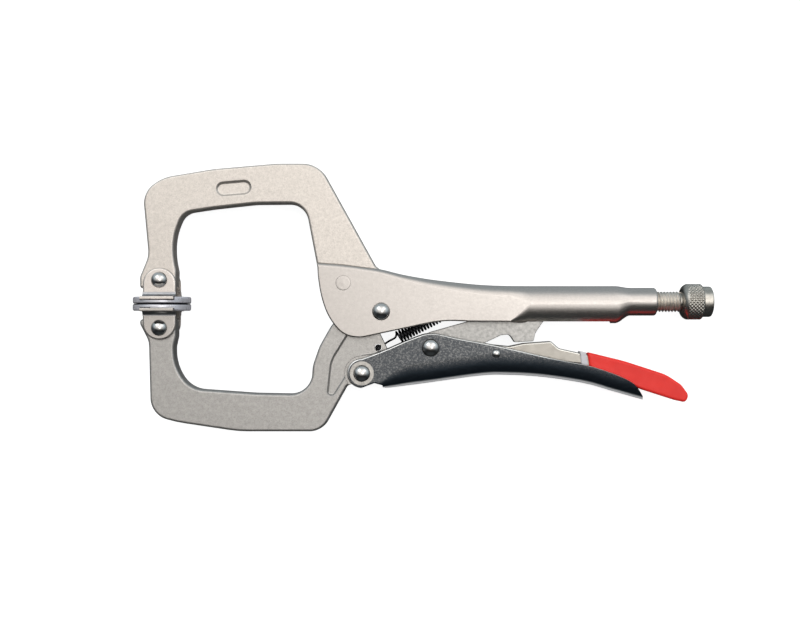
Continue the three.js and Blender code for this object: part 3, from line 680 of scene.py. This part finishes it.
def fixed_handle():
    back = catmull(HANDLE_BACK, 5)
    screw_line = (0, SCREW_Y, 0)
    profile = [(NOZZLE_START - 0.9, NOZZLE_RADIUS)]
    profile += [(NOZZLE_END + x, NOZZLE_RADIUS + r) for x, r in NOZZLE_TIP]
    nozzle = turned("nozzle", profile, "x", screw_line)
    channel = skin("channel", [
        section(max(x, 1), top - WALL, BELOW, HANDLE_INNER, max(radius - WALL, 0.4), 0.2)
        for x, top, radius in back if x > -0.1])
    bore_rings = [(CHANNEL_END - 0.1, 0.4, 3.3), (TUBE_START, 3.6, 4.4), (SHOULDER, 3.6, 4.4)]
    inside = skin("inside", [section(x, 10, -3.2, HANDLE_INNER, top, low) for x, low, top in bore_rings])
    jaw_gap = block(-36, 1.05, BELOW, 30, -HANDLE_INNER, HANDLE_INNER)
    slot = block(CHANNEL_END - 0.1, 110, -9, 0, -SLOT_HALF, SLOT_HALF)
    nut = turned("nut", [(90, SCREW_RADIUS + 0.15), (140, SCREW_RADIUS + 0.15)], "x", screw_line)
    handle = union(handle_walls(back), handle_tube(), nozzle)
    bores = (bore(MAIN_PIVOT, MAIN_SHANK), bore(JAW_PLUG, PLUG_SHANK))
    cut(handle, channel, jaw_gap, inside, slot, nut, *bores)
    tab = prism("tab", rounded([(37.2, 12), (37.2, 1.4, 1.6), (41.2, 1.4, 1.6), (41.2, 12)]),
                soft_levels(-TAB_HALF, TAB_HALF, 0.2, 2))
    cut(tab, pin(SPRING_ANCHOR, 1.1), block(30, 50, 12.2, 30, -3, 3))
    return union(handle, tab)


place(fixed_handle(), "fixed_handle_pressing", "frame", "handle_nickel", steels["handle_nickel"],
      nodes=["fixed_handle"])


# ---------------------------------------------------------------- lever and toggle

# The lever's upper outline, and its belly as (x, height, corner radius, rise of the corner up the side).
LEVER_TOP = [
    (-9.2, -22.4), (1.8, -18.3), (14, -13.1), (24, -10.4), (37.6, -13), (56.8, -16.6), (84.8, -23),
    (98.3, -25.6), (111.9, -30.1), (120, -34.4), (124.6, -40.4),
]
LEVER_BELLY = [
    (-17, -36.5, 1.2, 1.2), (-4, -36.5, 1.2, 1.2), (4, -36.4, 4, 7), (12, -35.5, 5.6, 11),
    (22, -34.2, 5.6, 11), (47, -30.8, 5.6, 11), (60, -30.4, 5.6, 11), (77, -31.4, 5.6, 11),
    (97, -34.4, 5.6, 11), (111, -38.3, 5.6, 11), (125.4, -42.4, 5.6, 11),
]
LEVER_END = 125.3
EAR_RADIUS = 7
EAR_NOTCH = [(1.6, -44), (0.6, -35.2), (-3.2, -34.2), (LEVER_PIVOT[0], LEVER_PIVOT[1] - EAR_RADIUS)]
BOSS_RADIUS = 5.7
GROOVE_WIDTH = 0.3
GROOVE_DEPTH = 0.08


def lever_handle():
    """A pressed channel, open towards the fixed handle, with two ears round the lever pivot."""
    belly = catmull(LEVER_BELLY, 6)
    envelope = skin("lever_handle", [
        section(x, 4, y, LEVER_HALF, 0.2, radius, 0.2, rise) for x, y, radius, rise in belly])
    side = catmull(LEVER_TOP, 7) + [(LEVER_END, -44)] + EAR_NOTCH + arc(LEVER_PIVOT, EAR_RADIUS, -96, -264)
    overlap(envelope, prism("side", side, soft_levels(-LEVER_HALF, LEVER_HALF, 0.9, 5)))
    inner = [(x + (0.5 if x > 120 else 0), y + WALL) for x, y, *_ in belly]
    channel = skin("channel", [section(x, 6, y, LEVER_INNER, 0.2, 3.4, 0.2, 6) for x, y in inner])
    cut(envelope, channel, block(-30, 1.6, -60, 4, -LEVER_INNER, LEVER_INNER),
        bore(LEVER_PIVOT, LEVER_SHANK), bore(LINK_PIVOT, LEVER_SHANK), bore(RELEASE_PIVOT, RELEASE_SHANK))
    for face in (1, -1):
        depths = (face * (LEVER_HALF - GROOVE_DEPTH), face * THROUGH)
        groove = turned("groove", [(z, BOSS_RADIUS + GROOVE_WIDTH) for z in depths], "z", (*LEVER_PIVOT, 0))
        cut(envelope, cut(groove, pin(LEVER_PIVOT, BOSS_RADIUS)))
    return envelope


def toggle_link():
    """A flat stamped link with a heel that bears on the release lever."""
    corners = [
        (15.2, -20, 6.5), (21.6, -10.4, 6), (88.2, 8.4, 3), (92.2, 3, 2.6), (82, -0.9, 6), (77.3, -4.9, 10),
        (73.6, -10.4, 6), (72.7, -14.3, 0.8), (63.7, -14.8, 0.8), (61.2, -11, 2.4), (57.2, -11.4, 2.4),
        (50, -14.8, 2), (25.6, -24.9, 6.5),
    ]
    link = prism("toggle_link", rounded(corners), soft_levels(-LINK_HALF, LINK_HALF, 0.3, 3))
    return cut(link, bore(LINK_PIVOT, LEVER_SHANK))


def tail(clearance):
    """Corners of the release lever's tail, which the grip covers, grown by a clearance."""
    return [
        (122, -27.2 + clearance, 30), (135, -31.4 + clearance, 8), (142.6 + clearance, -38, 2),
        (141.6 + clearance, -41.2 - clearance, 1.6), (124, -36 - clearance, 30), (96, -25.6 - clearance, 10),
    ]


def release_lever():
    """A strip folded along its upper edge, with a tail that the grip covers."""
    corners = [
        (50.1, -24.4, 4), (50.1, -15.5, 4), (61, -16.6, 3), (68, -15.2, 4), (81, -14.2, 1.5),
        (84.9, -17.6, 2), (98, -20.5, 10), *tail(0), (78, -23.8, 6), (60, -24.4, 6)]
    lever = prism("release_lever", rounded(corners), soft_levels(-RELEASE_HALF, RELEASE_HALF, 1.2, 5))
    fold = rounded([
        (50, -40), (50, -18.2), (61, -18.2, 3), (68, -16.6, 4), (80.3, -15.6, 1), (84.2, -19, 2),
        (94, -21.1), (94, -40)])
    hollow = prism("hollow", fold, [(0, -RELEASE_INNER), (0, RELEASE_INNER)])
    return cut(lever, hollow, bore(RELEASE_PIVOT, RELEASE_SHANK))


def tail_cavity():
    """The hollow that the grip and its collar need for the release lever's tail."""
    outline = rounded([(90, -18.5), (98, -20.3, 10), *tail(0.2), (90, -25)])
    return prism("cavity", outline, [(0, -RELEASE_HALF - 0.1), (0, RELEASE_HALF + 0.1)])


def grip_collar():
    outline = rounded([(94.7, -18.9, 0.5), (97.6, -19.5, 0.5), (98.9, -26.6, 0.5), (95.6, -26.4, 0.5)])
    return cut(prism("collar", outline, soft_levels(-COLLAR_HALF, COLLAR_HALF, 0.45, 3)), tail_cavity())


def grip_sleeve():
    outline = rounded([
        (98, -19.3, 1.4), (116, -23.7, 60), (136, -30.2, 20), (143.2, -35, 8), (146.8, -40, 3),
        (145.2, -43.5, 2), (140, -42.4, 10), (125, -37.6, 40), (99.4, -27.6, 1.4)], 4)
    return cut(prism("sleeve", outline, soft_levels(-GRIP_HALF, GRIP_HALF, 1.35, 6)), tail_cavity())


lever = lever_handle()
# Index 1 is a painted highlight on the upper edges, which face the light, and a lighter rim round the ear.
for face in lever.data.polygons:
    x, y, z = face.center
    if abs(z) < LEVER_HALF - 1.2:
        continue
    reach = [(lever.data.vertices[i].co.xy - Vector(LEVER_PIVOT)).length for i in face.vertices]
    on_ear = max(reach) < EAR_RADIUS + 0.1 and x < LEVER_PIVOT[0] + 3
    on_upper_edge = y > -38 and face.normal.y > 0.1
    if 0.05 < abs(face.normal.z) < 0.985 and (on_upper_edge or on_ear):
        face.material_index = 1
    if max(reach) < BOSS_RADIUS + 0.05:
        face.material_index = 2
place(lever, "lever_handle_pressing", "lever", "lever_dark", lever_dark, steels["lever_rim_highlight"],
      steels["lever_boss"], nodes=["lever_handle"])
place(toggle_link(), "toggle_link_plate", "link", "link_steel", steels["link_steel"], nodes=["toggle_link"])

release = release_lever()
# Index 1 is a painted highlight on the edge faces that turn towards the light at +Y.
for face in release.data.polygons:
    if abs(face.center.z) > RELEASE_HALF - 1.3 and abs(face.normal.z) < 0.97 and face.normal.y > 0.2:
        face.material_index = 1
place(release, "release_lever_pressing", "release", "release_nickel", steels["release_nickel"],
      steels["release_rim_highlight"], nodes=["release_lever"])
place(grip_collar(), "grip_collar_ring", "release", "collar_plastic", collar_plastic, nodes=["grip_collar"])
place(grip_sleeve(), "grip_sleeve_vinyl", "release", "grip_red", grip_red, nodes=["grip_sleeve"], crease=50)


# ---------------------------------------------------------------- rivets

RIVET_EDGE = 0.3
RIVET_STEPS = 12


def mirrored(profile):
    """A profile of (distance, radius) with its mirror image ahead of it."""
    return [(-a, r) for a, r in reversed(profile)] + profile


def rivet(name, centre, shank, head, dome, reach):
    """A rivet with a domed head at both ends, over plates whose outer faces are at z = reach."""
    seat = reach + HEAD_GAP
    rise = dome - RIVET_EDGE
    sphere = (head ** 2 + rise ** 2) / (2 * rise)
    slope = math.asin(head / sphere)
    angles = [slope * (1 - i / RIVET_STEPS) for i in range(RIVET_STEPS)]
    crown = [(seat + dome - sphere * (1 - math.cos(a)), sphere * math.sin(a)) for a in angles]
    half = [(seat, shank), (seat, head - 0.12), (seat + 0.1, head - 0.02), *crown, (seat + dome, 0)]
    return turned(name, mirrored(half), "z", (*centre, 0), 40)


BRACKET_OUTER = BRACKET_INNER + BRACKET_WALL

# Node, centre, radius of the shank and of the head, height of the dome, outer face of the plates, body.
RIVETS = [
    ("main_pivot_rivet", MAIN_PIVOT, MAIN_SHANK, 4.25, 2.8, HANDLE_HALF, "frame"),
    ("lever_pivot_rivet", LEVER_PIVOT, LEVER_SHANK, 4, 2.6, LEVER_HALF, "lower_jaw"),
    ("link_pivot_rivet", LINK_PIVOT, LEVER_SHANK, 4.25, 2.8, LEVER_HALF, "lever"),
    ("release_lever_pin", RELEASE_PIVOT, RELEASE_SHANK, 2, 1.3, LEVER_HALF, "lever"),
    ("upper_pad_rivet", UPPER_PAD_PIVOT, PAD_SHANK, 3.8, 2.5, BRACKET_OUTER, "upper_pad"),
    ("lower_pad_rivet", LOWER_PAD_PIVOT, PAD_SHANK, 3.8, 2.5, BRACKET_OUTER, "lower_pad"),
]
for name, centre, shank, head, dome, reach, body in RIVETS:
    head_and_shank = rivet(name, centre, shank, head, dome, reach)
    place(head_and_shank, name + "_domed", body, "rivet_chrome", steels["rivet_chrome"], nodes=[name])

# The plug's face lies just under the handle's side, with a shallow dish in it.
PLUG_FACE = [(-0.5, 3.46), (-0.1, 3.44), (-0.03, 3.3), (-0.06, 2.4), (-0.02, 1.2), (0, 0)]
plug = turned("plug", mirrored([(HANDLE_HALF + z, r) for z, r in PLUG_FACE]), "z", (*JAW_PLUG, 0))
place(plug, "jaw_plug_pin", "frame", "handle_nickel", steels["handle_nickel"], nodes=["jaw_plug"])


# ---------------------------------------------------------------- adjusting screw

THREAD_ROWS = 10
THREAD_COLUMNS = 48
CORE_RADIUS = SCREW_RADIUS - 0.8
SPIGOT_RADIUS = 2.08
SPIGOT_END = 103.6

KNURL_START = SCREW_HEAD + 2
KNURL_END = SCREW_HEAD + 9.7
KNURL_ROWS = 36
KNURL_COLUMNS = 288
KNURL_STARTS = 30
KNURL_LEAD = 1.7
KNURL_DEPTH = 0.42
KNOB_SHOULDER = [(0.2, 2.4), (0, 5.2), (0.3, 6.3), (0.8, 7.2), (1.4, 7.8), (1.9, 8.15)]
KNOB_COLLAR = 7.3


def threaded_rod(x0, x1):
    """A right-hand thread: the rows of points follow the helix, so that each crest is one clean line."""
    rows, columns = THREAD_ROWS, THREAD_COLUMNS
    count = round((x1 - x0) / SCREW_PITCH) * rows
    verts = []
    for i in range(count + 1):
        phase = (i % rows) / rows
        radius = SCREW_RADIUS - THREAD_DEPTH * min(1, max(0, abs(phase - 0.5) * 2.5 - 0.12))
        for j in range(columns):
            turn = 2 * math.pi * j / columns
            x = x0 + SCREW_PITCH * (i / rows + j / columns)
            verts.append((x, SCREW_Y + radius * math.cos(turn), radius * math.sin(turn)))
    faces = []
    for i in range(count):
        for j in range(columns - 1):
            a = i * columns + j
            faces.append((a, a + 1, a + 1 + columns, a + columns))
    # The last column meets the first one, a whole turn further along.
    for i in range(count - rows):
        a = i * columns + columns - 1
        b = (i + rows) * columns
        faces.append((a, b, b + columns, a + columns))
    low = list(range(columns)) + [r * columns for r in range(rows, 0, -1)]
    top = [count * columns + j for j in range(columns)]
    top += [r * columns + columns - 1 for r in range(count - 1, count - rows - 1, -1)]
    for loop, x in ((low, x0 + SCREW_PITCH / 2), (top, x1 + SCREW_PITCH / 2)):
        verts.append((x, SCREW_Y, 0))
        faces += [(loop[k], loop[(k + 1) % len(loop)], len(verts) - 1) for k in range(len(loop))]
    return solid("thread", verts, faces)


def knurled_radius(x, around):
    """Radius of the diamond knurling at x and at a fraction of a turn around the knob."""
    fade = min(1, (x - KNURL_START) / 0.9, (KNURL_END - x) / 0.5)
    waves = [(around * KNURL_STARTS + k * (x - KNURL_START) / KNURL_LEAD) % 1 for k in (1, -1)]
    depth = max(max(0, 1 - abs(wave - 0.5) * 4.4) for wave in waves)
    return KNOB_RADIUS - 0.4 * (1 - fade) ** 2 - KNURL_DEPTH * depth * fade


def knurled_knob():
    """The knob: a smooth shoulder, a band of diamond knurling and an end collar."""
    profile = [(SCREW_HEAD + x, radius) for x, radius in KNOB_SHOULDER]
    band = KNURL_END - KNURL_START
    profile += [(KNURL_START + band * i / KNURL_ROWS, None) for i in range(KNURL_ROWS + 1)]
    profile += [
        (KNURL_END + 0.3, 7.6), (KNURL_END + 0.45, KNOB_COLLAR), (SCREW_END - 0.9, KNOB_COLLAR),
        (SCREW_END - 0.3, KNOB_COLLAR - 0.2), (SCREW_END, 6.55)]
    rings = []
    for x, smooth in profile:
        ring = []
        for j in range(KNURL_COLUMNS):
            turn = 2 * math.pi * j / KNURL_COLUMNS
            radius = smooth or knurled_radius(x, turn / (2 * math.pi))
            ring.append((x, SCREW_Y + radius * math.cos(turn), radius * math.sin(turn)))
        rings.append(ring)
    return skin("knob", rings)


rod = threaded_rod(SCREW_START + 0.4, SCREW_HEAD - 0.6)
core = turned("core", [
    (SCREW_START, CORE_RADIUS - 0.6), (SCREW_START + 0.6, CORE_RADIUS), (SCREW_HEAD + 1, CORE_RADIUS)],
    "x", (0, SCREW_Y, 0))
cut(core, turned("spigot", [(90, SPIGOT_RADIUS), (SPIGOT_END, SPIGOT_RADIUS)], "x", (0, SCREW_Y, 0)))
steel = steels["screw_steel"]
place(rod, "adjusting_screw_thread", "screw", "screw_steel", steels["thread_steel"],
      nodes=["adjusting_screw"], crease=60)
place(core, "adjusting_screw_core", "screw", "screw_steel", steel)
place(knurled_knob(), "adjusting_screw_knob", "screw", "screw_steel", steel, crease=40)

tip = frame["nodes"]["screw_tip"]
tip.data.materials.clear()
tip.data.materials.append(steel)


# ---------------------------------------------------------------- spring

def tube_along(name, points, radius, sides=10):
    """A round wire along a path of points, with its ends closed."""
    path = [Vector(p) for p in points]
    rings = []
    normal = Vector((0, 0, 1))
    turns = [2 * math.pi * k / sides for k in range(sides)]
    for i, here in enumerate(path):
        ahead = (path[min(i + 1, len(path) - 1)] - path[max(i - 1, 0)]).normalized()
        normal = (normal - ahead * normal.dot(ahead)).normalized()
        side = ahead.cross(normal)
        rings.append([here + (normal * math.cos(t) + side * math.sin(t)) * radius for t in turns])
    return skin(name, rings)


COIL_START = 11
COIL_END_GAP = 5.2
COIL_STEPS = 20


def tension_spring():
    """An eye through the jaw's hole, a long hook, the close coil, and a hook through the handle's tab."""
    start, end = Vector((*SPRING_HOLE, 0)), Vector((*SPRING_ANCHOR, 0))
    axis = (end - start).normalized()
    lift = Vector((-axis.y, axis.x, 0))
    length = (end - start).length
    coil_end = length - COIL_END_GAP
    radius = SPRING_RADIUS - SPRING_WIRE

    def at(distance, up=0, z=0):
        """A point by its distance along the spring's line, its height over that line, and z."""
        return tuple(start + axis * distance + lift * up + Vector((0, 0, z)))

    path = []
    for i in range(46):
        turn = math.radians(20 * i)
        eye = 0.25 + 0.75 * min(1, i / 20)
        path.append(at(eye * math.cos(turn), eye * math.sin(turn), 3.5 - 0.17 * turn))
    path += catmull([
        at(0.2, 0.2, -5.2), at(1.4, 0, -5.9), at(3.6, 0, -5.2), at(6, 0.3, -2.6), at(9.2, 0.4, -1.2),
        at(COIL_START - 0.4, 1.6, -0.6), at(COIL_START, radius, 0)], 6)
    count = SPRING_TURNS * COIL_STEPS
    for i in range(1, count):
        turn = 2 * math.pi * i / COIL_STEPS
        along = COIL_START + (coil_end - COIL_START) * i / count
        path.append(at(along, radius * math.cos(turn), radius * math.sin(turn)))
    path += catmull([
        at(coil_end, radius, 0), at(coil_end + 0.8, 1.4, 0.5), at(coil_end + 1.8, 0.3, 0.9),
        at(length - 1.4, 0, 1.7), at(length - 0.2, 0, 1.4), at(length + 0.1, 0, 0),
        at(length - 0.2, 0, -1.4), at(length - 1.6, 0, -1.8)], 5)
    return tube_along("tension_spring", path, SPRING_WIRE)


spring = place(tension_spring(), "tension_spring_coil", "frame", "spring_black", steels["spring_black"],
               nodes=["tension_spring"], ride=False, crease=60)


def world(x, y, z=0):
    """A point in millimetres, placed in the frame."""
    return ORIGIN + Vector((x, y, z)) * MM


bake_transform(spring)


# ---------------------------------------------------------------- swivel pads

PAD_LIP = 0.9
FOLD_BEND = 2.1
FOOT_EDGE = 0.45
EAR_EDGE = 0.9


def pad_disc(side):
    """A shallow dish with a rolled rim, open where the bracket's foot passes through it."""
    face = -PAD_REACH - PAD_CROWN
    dish = PAD_DISH_HEIGHT - PAD_REACH
    rim = PAD_RIM_HEIGHT - PAD_REACH
    roll = PAD_RADIUS - PAD_LIP
    profile = [(face, 0), (face, PAD_RADIUS - 1.6)]
    profile += [(face + PAD_LIP + y, roll + r) for r, y in arc((0, 0), PAD_LIP, -70, 0, 14)]
    profile += [(rim - PAD_LIP + y, roll + r) for r, y in arc((0, 0), PAD_LIP, 0, 100, 14)]
    profile += [
        (rim - 0.25, PAD_RADIUS - 1.7), (rim - 0.9, PAD_RADIUS - 2.2), (dish + 0.2, PAD_RADIUS - 2.8),
        (dish, PAD_RADIUS - 3.4), (dish, 0)]
    disc = turned("disc", [(side * y, r) for y, r in profile], "y", (0, 0, 0), 96)
    opening = BRACKET_HALF + PAD_GAP
    low, high = sorted((side * dish, side * (rim + 1)))
    cut(disc, block(-opening, opening, low, high, -20, 20))
    # Painted shadow: the rounding next to the face, towards the other pad, is made near black.
    for polygon in disc.data.polygons:
        on_rounding = -0.98 < polygon.normal.y * side < -0.55
        polygon.material_index = 1 if on_rounding else 0
    return disc


def pad_bracket(side):
    """Two ears on a straight foot, with a deep fold between them and rounded front and back edges."""
    base = -PAD_REACH + PAD_DISH_HEIGHT + PAD_GAP
    deck = base + BRACKET_WALL
    right = arc((BRACKET_FOOT - FOOT_EDGE, base + FOOT_EDGE), FOOT_EDGE, -90, 0, 15)
    right += arc((BRACKET_FOOT - FOOT_EDGE, deck - FOOT_EDGE), FOOT_EDGE, 0, 90, 15)
    right += arc((BRACKET_OUTER + FOLD_BEND, deck + FOLD_BEND), FOLD_BEND, -90, -180, 7.5)
    right += [(BRACKET_OUTER, BRACKET_TOP + 1), (BRACKET_INNER, BRACKET_TOP + 1), (BRACKET_INNER, deck)]
    outline = right + [(-z, y) for z, y in reversed(right)]
    strip = skin("bracket", [[(x, y, z) for z, y in outline] for x in (-BRACKET_HALF - 1, BRACKET_HALF + 1)])
    ear = rounded([
        (-BRACKET_HALF, base - 2), (BRACKET_HALF, base - 2), (BRACKET_HALF, BRACKET_TOP, BRACKET_HALF - 0.1),
        (-BRACKET_HALF, BRACKET_TOP, BRACKET_HALF - 0.1)])
    ears = prism("ears", ear, soft_levels(-BRACKET_OUTER, BRACKET_OUTER, EAR_EDGE, 5))
    foot = block(-BRACKET_HALF, BRACKET_HALF, base - 1, deck + FOLD_BEND + 0.1, -20, 20)
    overlap(strip, union(ears, foot))
    cut(strip, bore((0, 0), PAD_SHANK))
    # Index 1 is painted shade on the outside faces of the fold.
    for polygon in strip.data.polygons:
        x, y, z = polygon.center
        outside = abs(z) > BRACKET_OUTER - 0.05 and abs(polygon.normal.x) < 0.5
        in_fold = outside and deck + 0.02 < y < deck + FOLD_BEND
        polygon.material_index = 1 if in_fold else 0
    if side < 0:
        strip.data.transform(Matrix.Rotation(math.pi, 4, "X"))
    return strip


# The lower pad's bracket takes the darker, painted-shade copy of the bracket steel.
PADS = (
    ("upper_pad", UPPER_PAD_PIVOT, 1, "bracket_steel"),
    ("lower_pad", LOWER_PAD_PIVOT, -1, "bracket_shaded"),
)
for name, centre, side, bracket_finish in PADS:
    parts = (
        (pad_disc(side), "disc", "pad_steel", "pad_gap_shadow"),
        (pad_bracket(side), "bracket", bracket_finish, "fold_shade"),
    )
    for part, suffix, *finishes in parts:
        part.data.transform(Matrix.Translation((*centre, 0)))
        place(part, f"{name}_{suffix}_steel", name, "pad_steel", *[steels[finish] for finish in finishes],
              nodes=[f"{name}_{suffix}"])


# ---------------------------------------------------------------- camera, floor and light

CAMERA_PLACE = (8.93, -1.03, 530)
CAMERA_LENS = 49.69
CAMERA_SENSOR = 36
CAMERA_NEAR = 0.02

FLOOR_RADIUS = 1500
FLOOR_TOP = -PAD_RADIUS
FLOOR_BASE = -20

# Lamps: name, place in millimetres, power in watts. Both aim at the main pivot.
LAMPS = (("key", (-650, 800, 900), 2.5), ("fill", (750, 700, 900), 1.8))
LAMP_SIZE = 0.8

# The room as lobes of light: direction, angles from it where the light begins and is full, low and high.
ROOM = ((0.1, 0.9, 0.43), 100, 60, 0.03, 0.66)
CEILING = ((0, 0.17, 0.985), 39, 22, 0, 0.38)
SPOT = ((0.22, 0.05, 0.98), 18, 4, 0, 2.4)
GLOWS = (
    ((1, 0, 0.2), 0.07), ((-1, 0, 0.2), 0.05), ((0, -1, 0.15), 0.03),
    ((0, 0.55, 0.83), 0.5), ((-0.55, 0.42, 0.72), 0.35), ((0.55, 0.42, 0.72), 0.35),
)
GLOW_ANGLES = (42, 12)
WARM_AREA = ((0, 0.1, 0.99), 70, 30, 0, 1)
COOL = (0.86, 0.985, 1.06, 1)
WARM = (1, 0.985, 0.965, 1)
WHITE = (1, 1, 1, 1)

camera = bpy.data.objects.new("camera", bpy.data.cameras.new("camera"))
camera.data.lens = CAMERA_LENS
camera.data.sensor_width = CAMERA_SENSOR
camera.data.clip_start = CAMERA_NEAR
camera.location = world(*CAMERA_PLACE)
bpy.context.scene.collection.objects.link(camera)
bpy.context.scene.camera = camera

disc = arc((0, 0), FLOOR_RADIUS, 0, 355, 5)
floor = skin("floor", [[(x, y, z) for x, y in disc] for z in (FLOOR_TOP, FLOOR_BASE)])
floor.data.transform(Matrix.Translation(ORIGIN) @ Matrix.Scale(MM, 4))
floor.visible_glossy = False
paper = Shade("paper", 0, 0.9, Emission_Strength=0.88, Emission_Color=WHITE, Specular_IOR_Level=0.1)
paper.color(paper.mix(paper.noise(60, 2), (0.34, 0.34, 0.34), (0.37, 0.37, 0.37)))
floor.data.materials.append(paper.material)

for name, place_mm, power in LAMPS:
    light = bpy.data.lights.new(name, "AREA")
    light.shape = "RECTANGLE"
    light.size = LAMP_SIZE
    light.size_y = LAMP_SIZE
    light.energy = power
    lamp = bpy.data.objects.new(name, light)
    lamp.location = world(*place_mm)
    lamp.rotation_euler = (ORIGIN - lamp.location).to_track_quat("-Z", "Y").to_euler()
    lamp.visible_camera = False
    bpy.context.scene.collection.objects.link(lamp)


def studio_light():
    """A bright ceiling that leans towards +Y, over a room that is grey at +Y and dark at -Y."""
    studio = bpy.data.worlds.new("studio")
    studio.use_nodes = True
    tree = studio.node_tree
    direction = tree.nodes.new("ShaderNodeTexCoord").outputs["Generated"]

    def lobe(axis, edge, core, low, high):
        """Light from low to high as the direction turns from the edge angle to the core angle."""
        dot = tree.nodes.new("ShaderNodeVectorMath")
        dot.operation = "DOT_PRODUCT"
        dot.inputs[1].default_value = Vector(axis).normalized()
        tree.links.new(direction, dot.inputs[0])
        fade = tree.nodes.new("ShaderNodeMapRange")
        fade.interpolation_type = "SMOOTHSTEP"
        fade.inputs["From Min"].default_value = math.cos(math.radians(edge))
        fade.inputs["From Max"].default_value = math.cos(math.radians(core))
        fade.inputs["To Min"].default_value = low
        fade.inputs["To Max"].default_value = high
        tree.links.new(dot.outputs["Value"], fade.inputs["Value"])
        return fade.outputs["Result"]

    level = lobe(*ROOM)
    for light in (CEILING, SPOT, *[(axis, *GLOW_ANGLES, 0, glow) for axis, glow in GLOWS]):
        total = tree.nodes.new("ShaderNodeMath")
        tree.links.new(level, total.inputs[0])
        tree.links.new(lobe(*light), total.inputs[1])
        level = total.outputs[0]
    background = tree.nodes["Background"]
    tree.links.new(level, background.inputs["Strength"])
    tint = tree.nodes.new("ShaderNodeMix")
    tint.data_type = "RGBA"
    tree.links.new(lobe(*WARM_AREA), tint.inputs[0])
    tint.inputs[6].default_value = COOL
    tint.inputs[7].default_value = WARM
    tree.links.new(tint.outputs[2], background.inputs["Color"])
    plain = tree.nodes.new("ShaderNodeBackground")
    plain.inputs["Color"].default_value = WHITE
    seen = tree.nodes.new("ShaderNodeLightPath")
    both = tree.nodes.new("ShaderNodeMixShader")
    tree.links.new(seen.outputs["Is Camera Ray"], both.inputs[0])
    tree.links.new(background.outputs[0], both.inputs[1])
    tree.links.new(plain.outputs[0], both.inputs[2])
    tree.links.new(both.outputs[0], tree.nodes["World Output"].inputs["Surface"])
    return studio


bpy.context.scene.world = studio_light()
bpy.context.scene.view_settings.view_transform = "Standard"
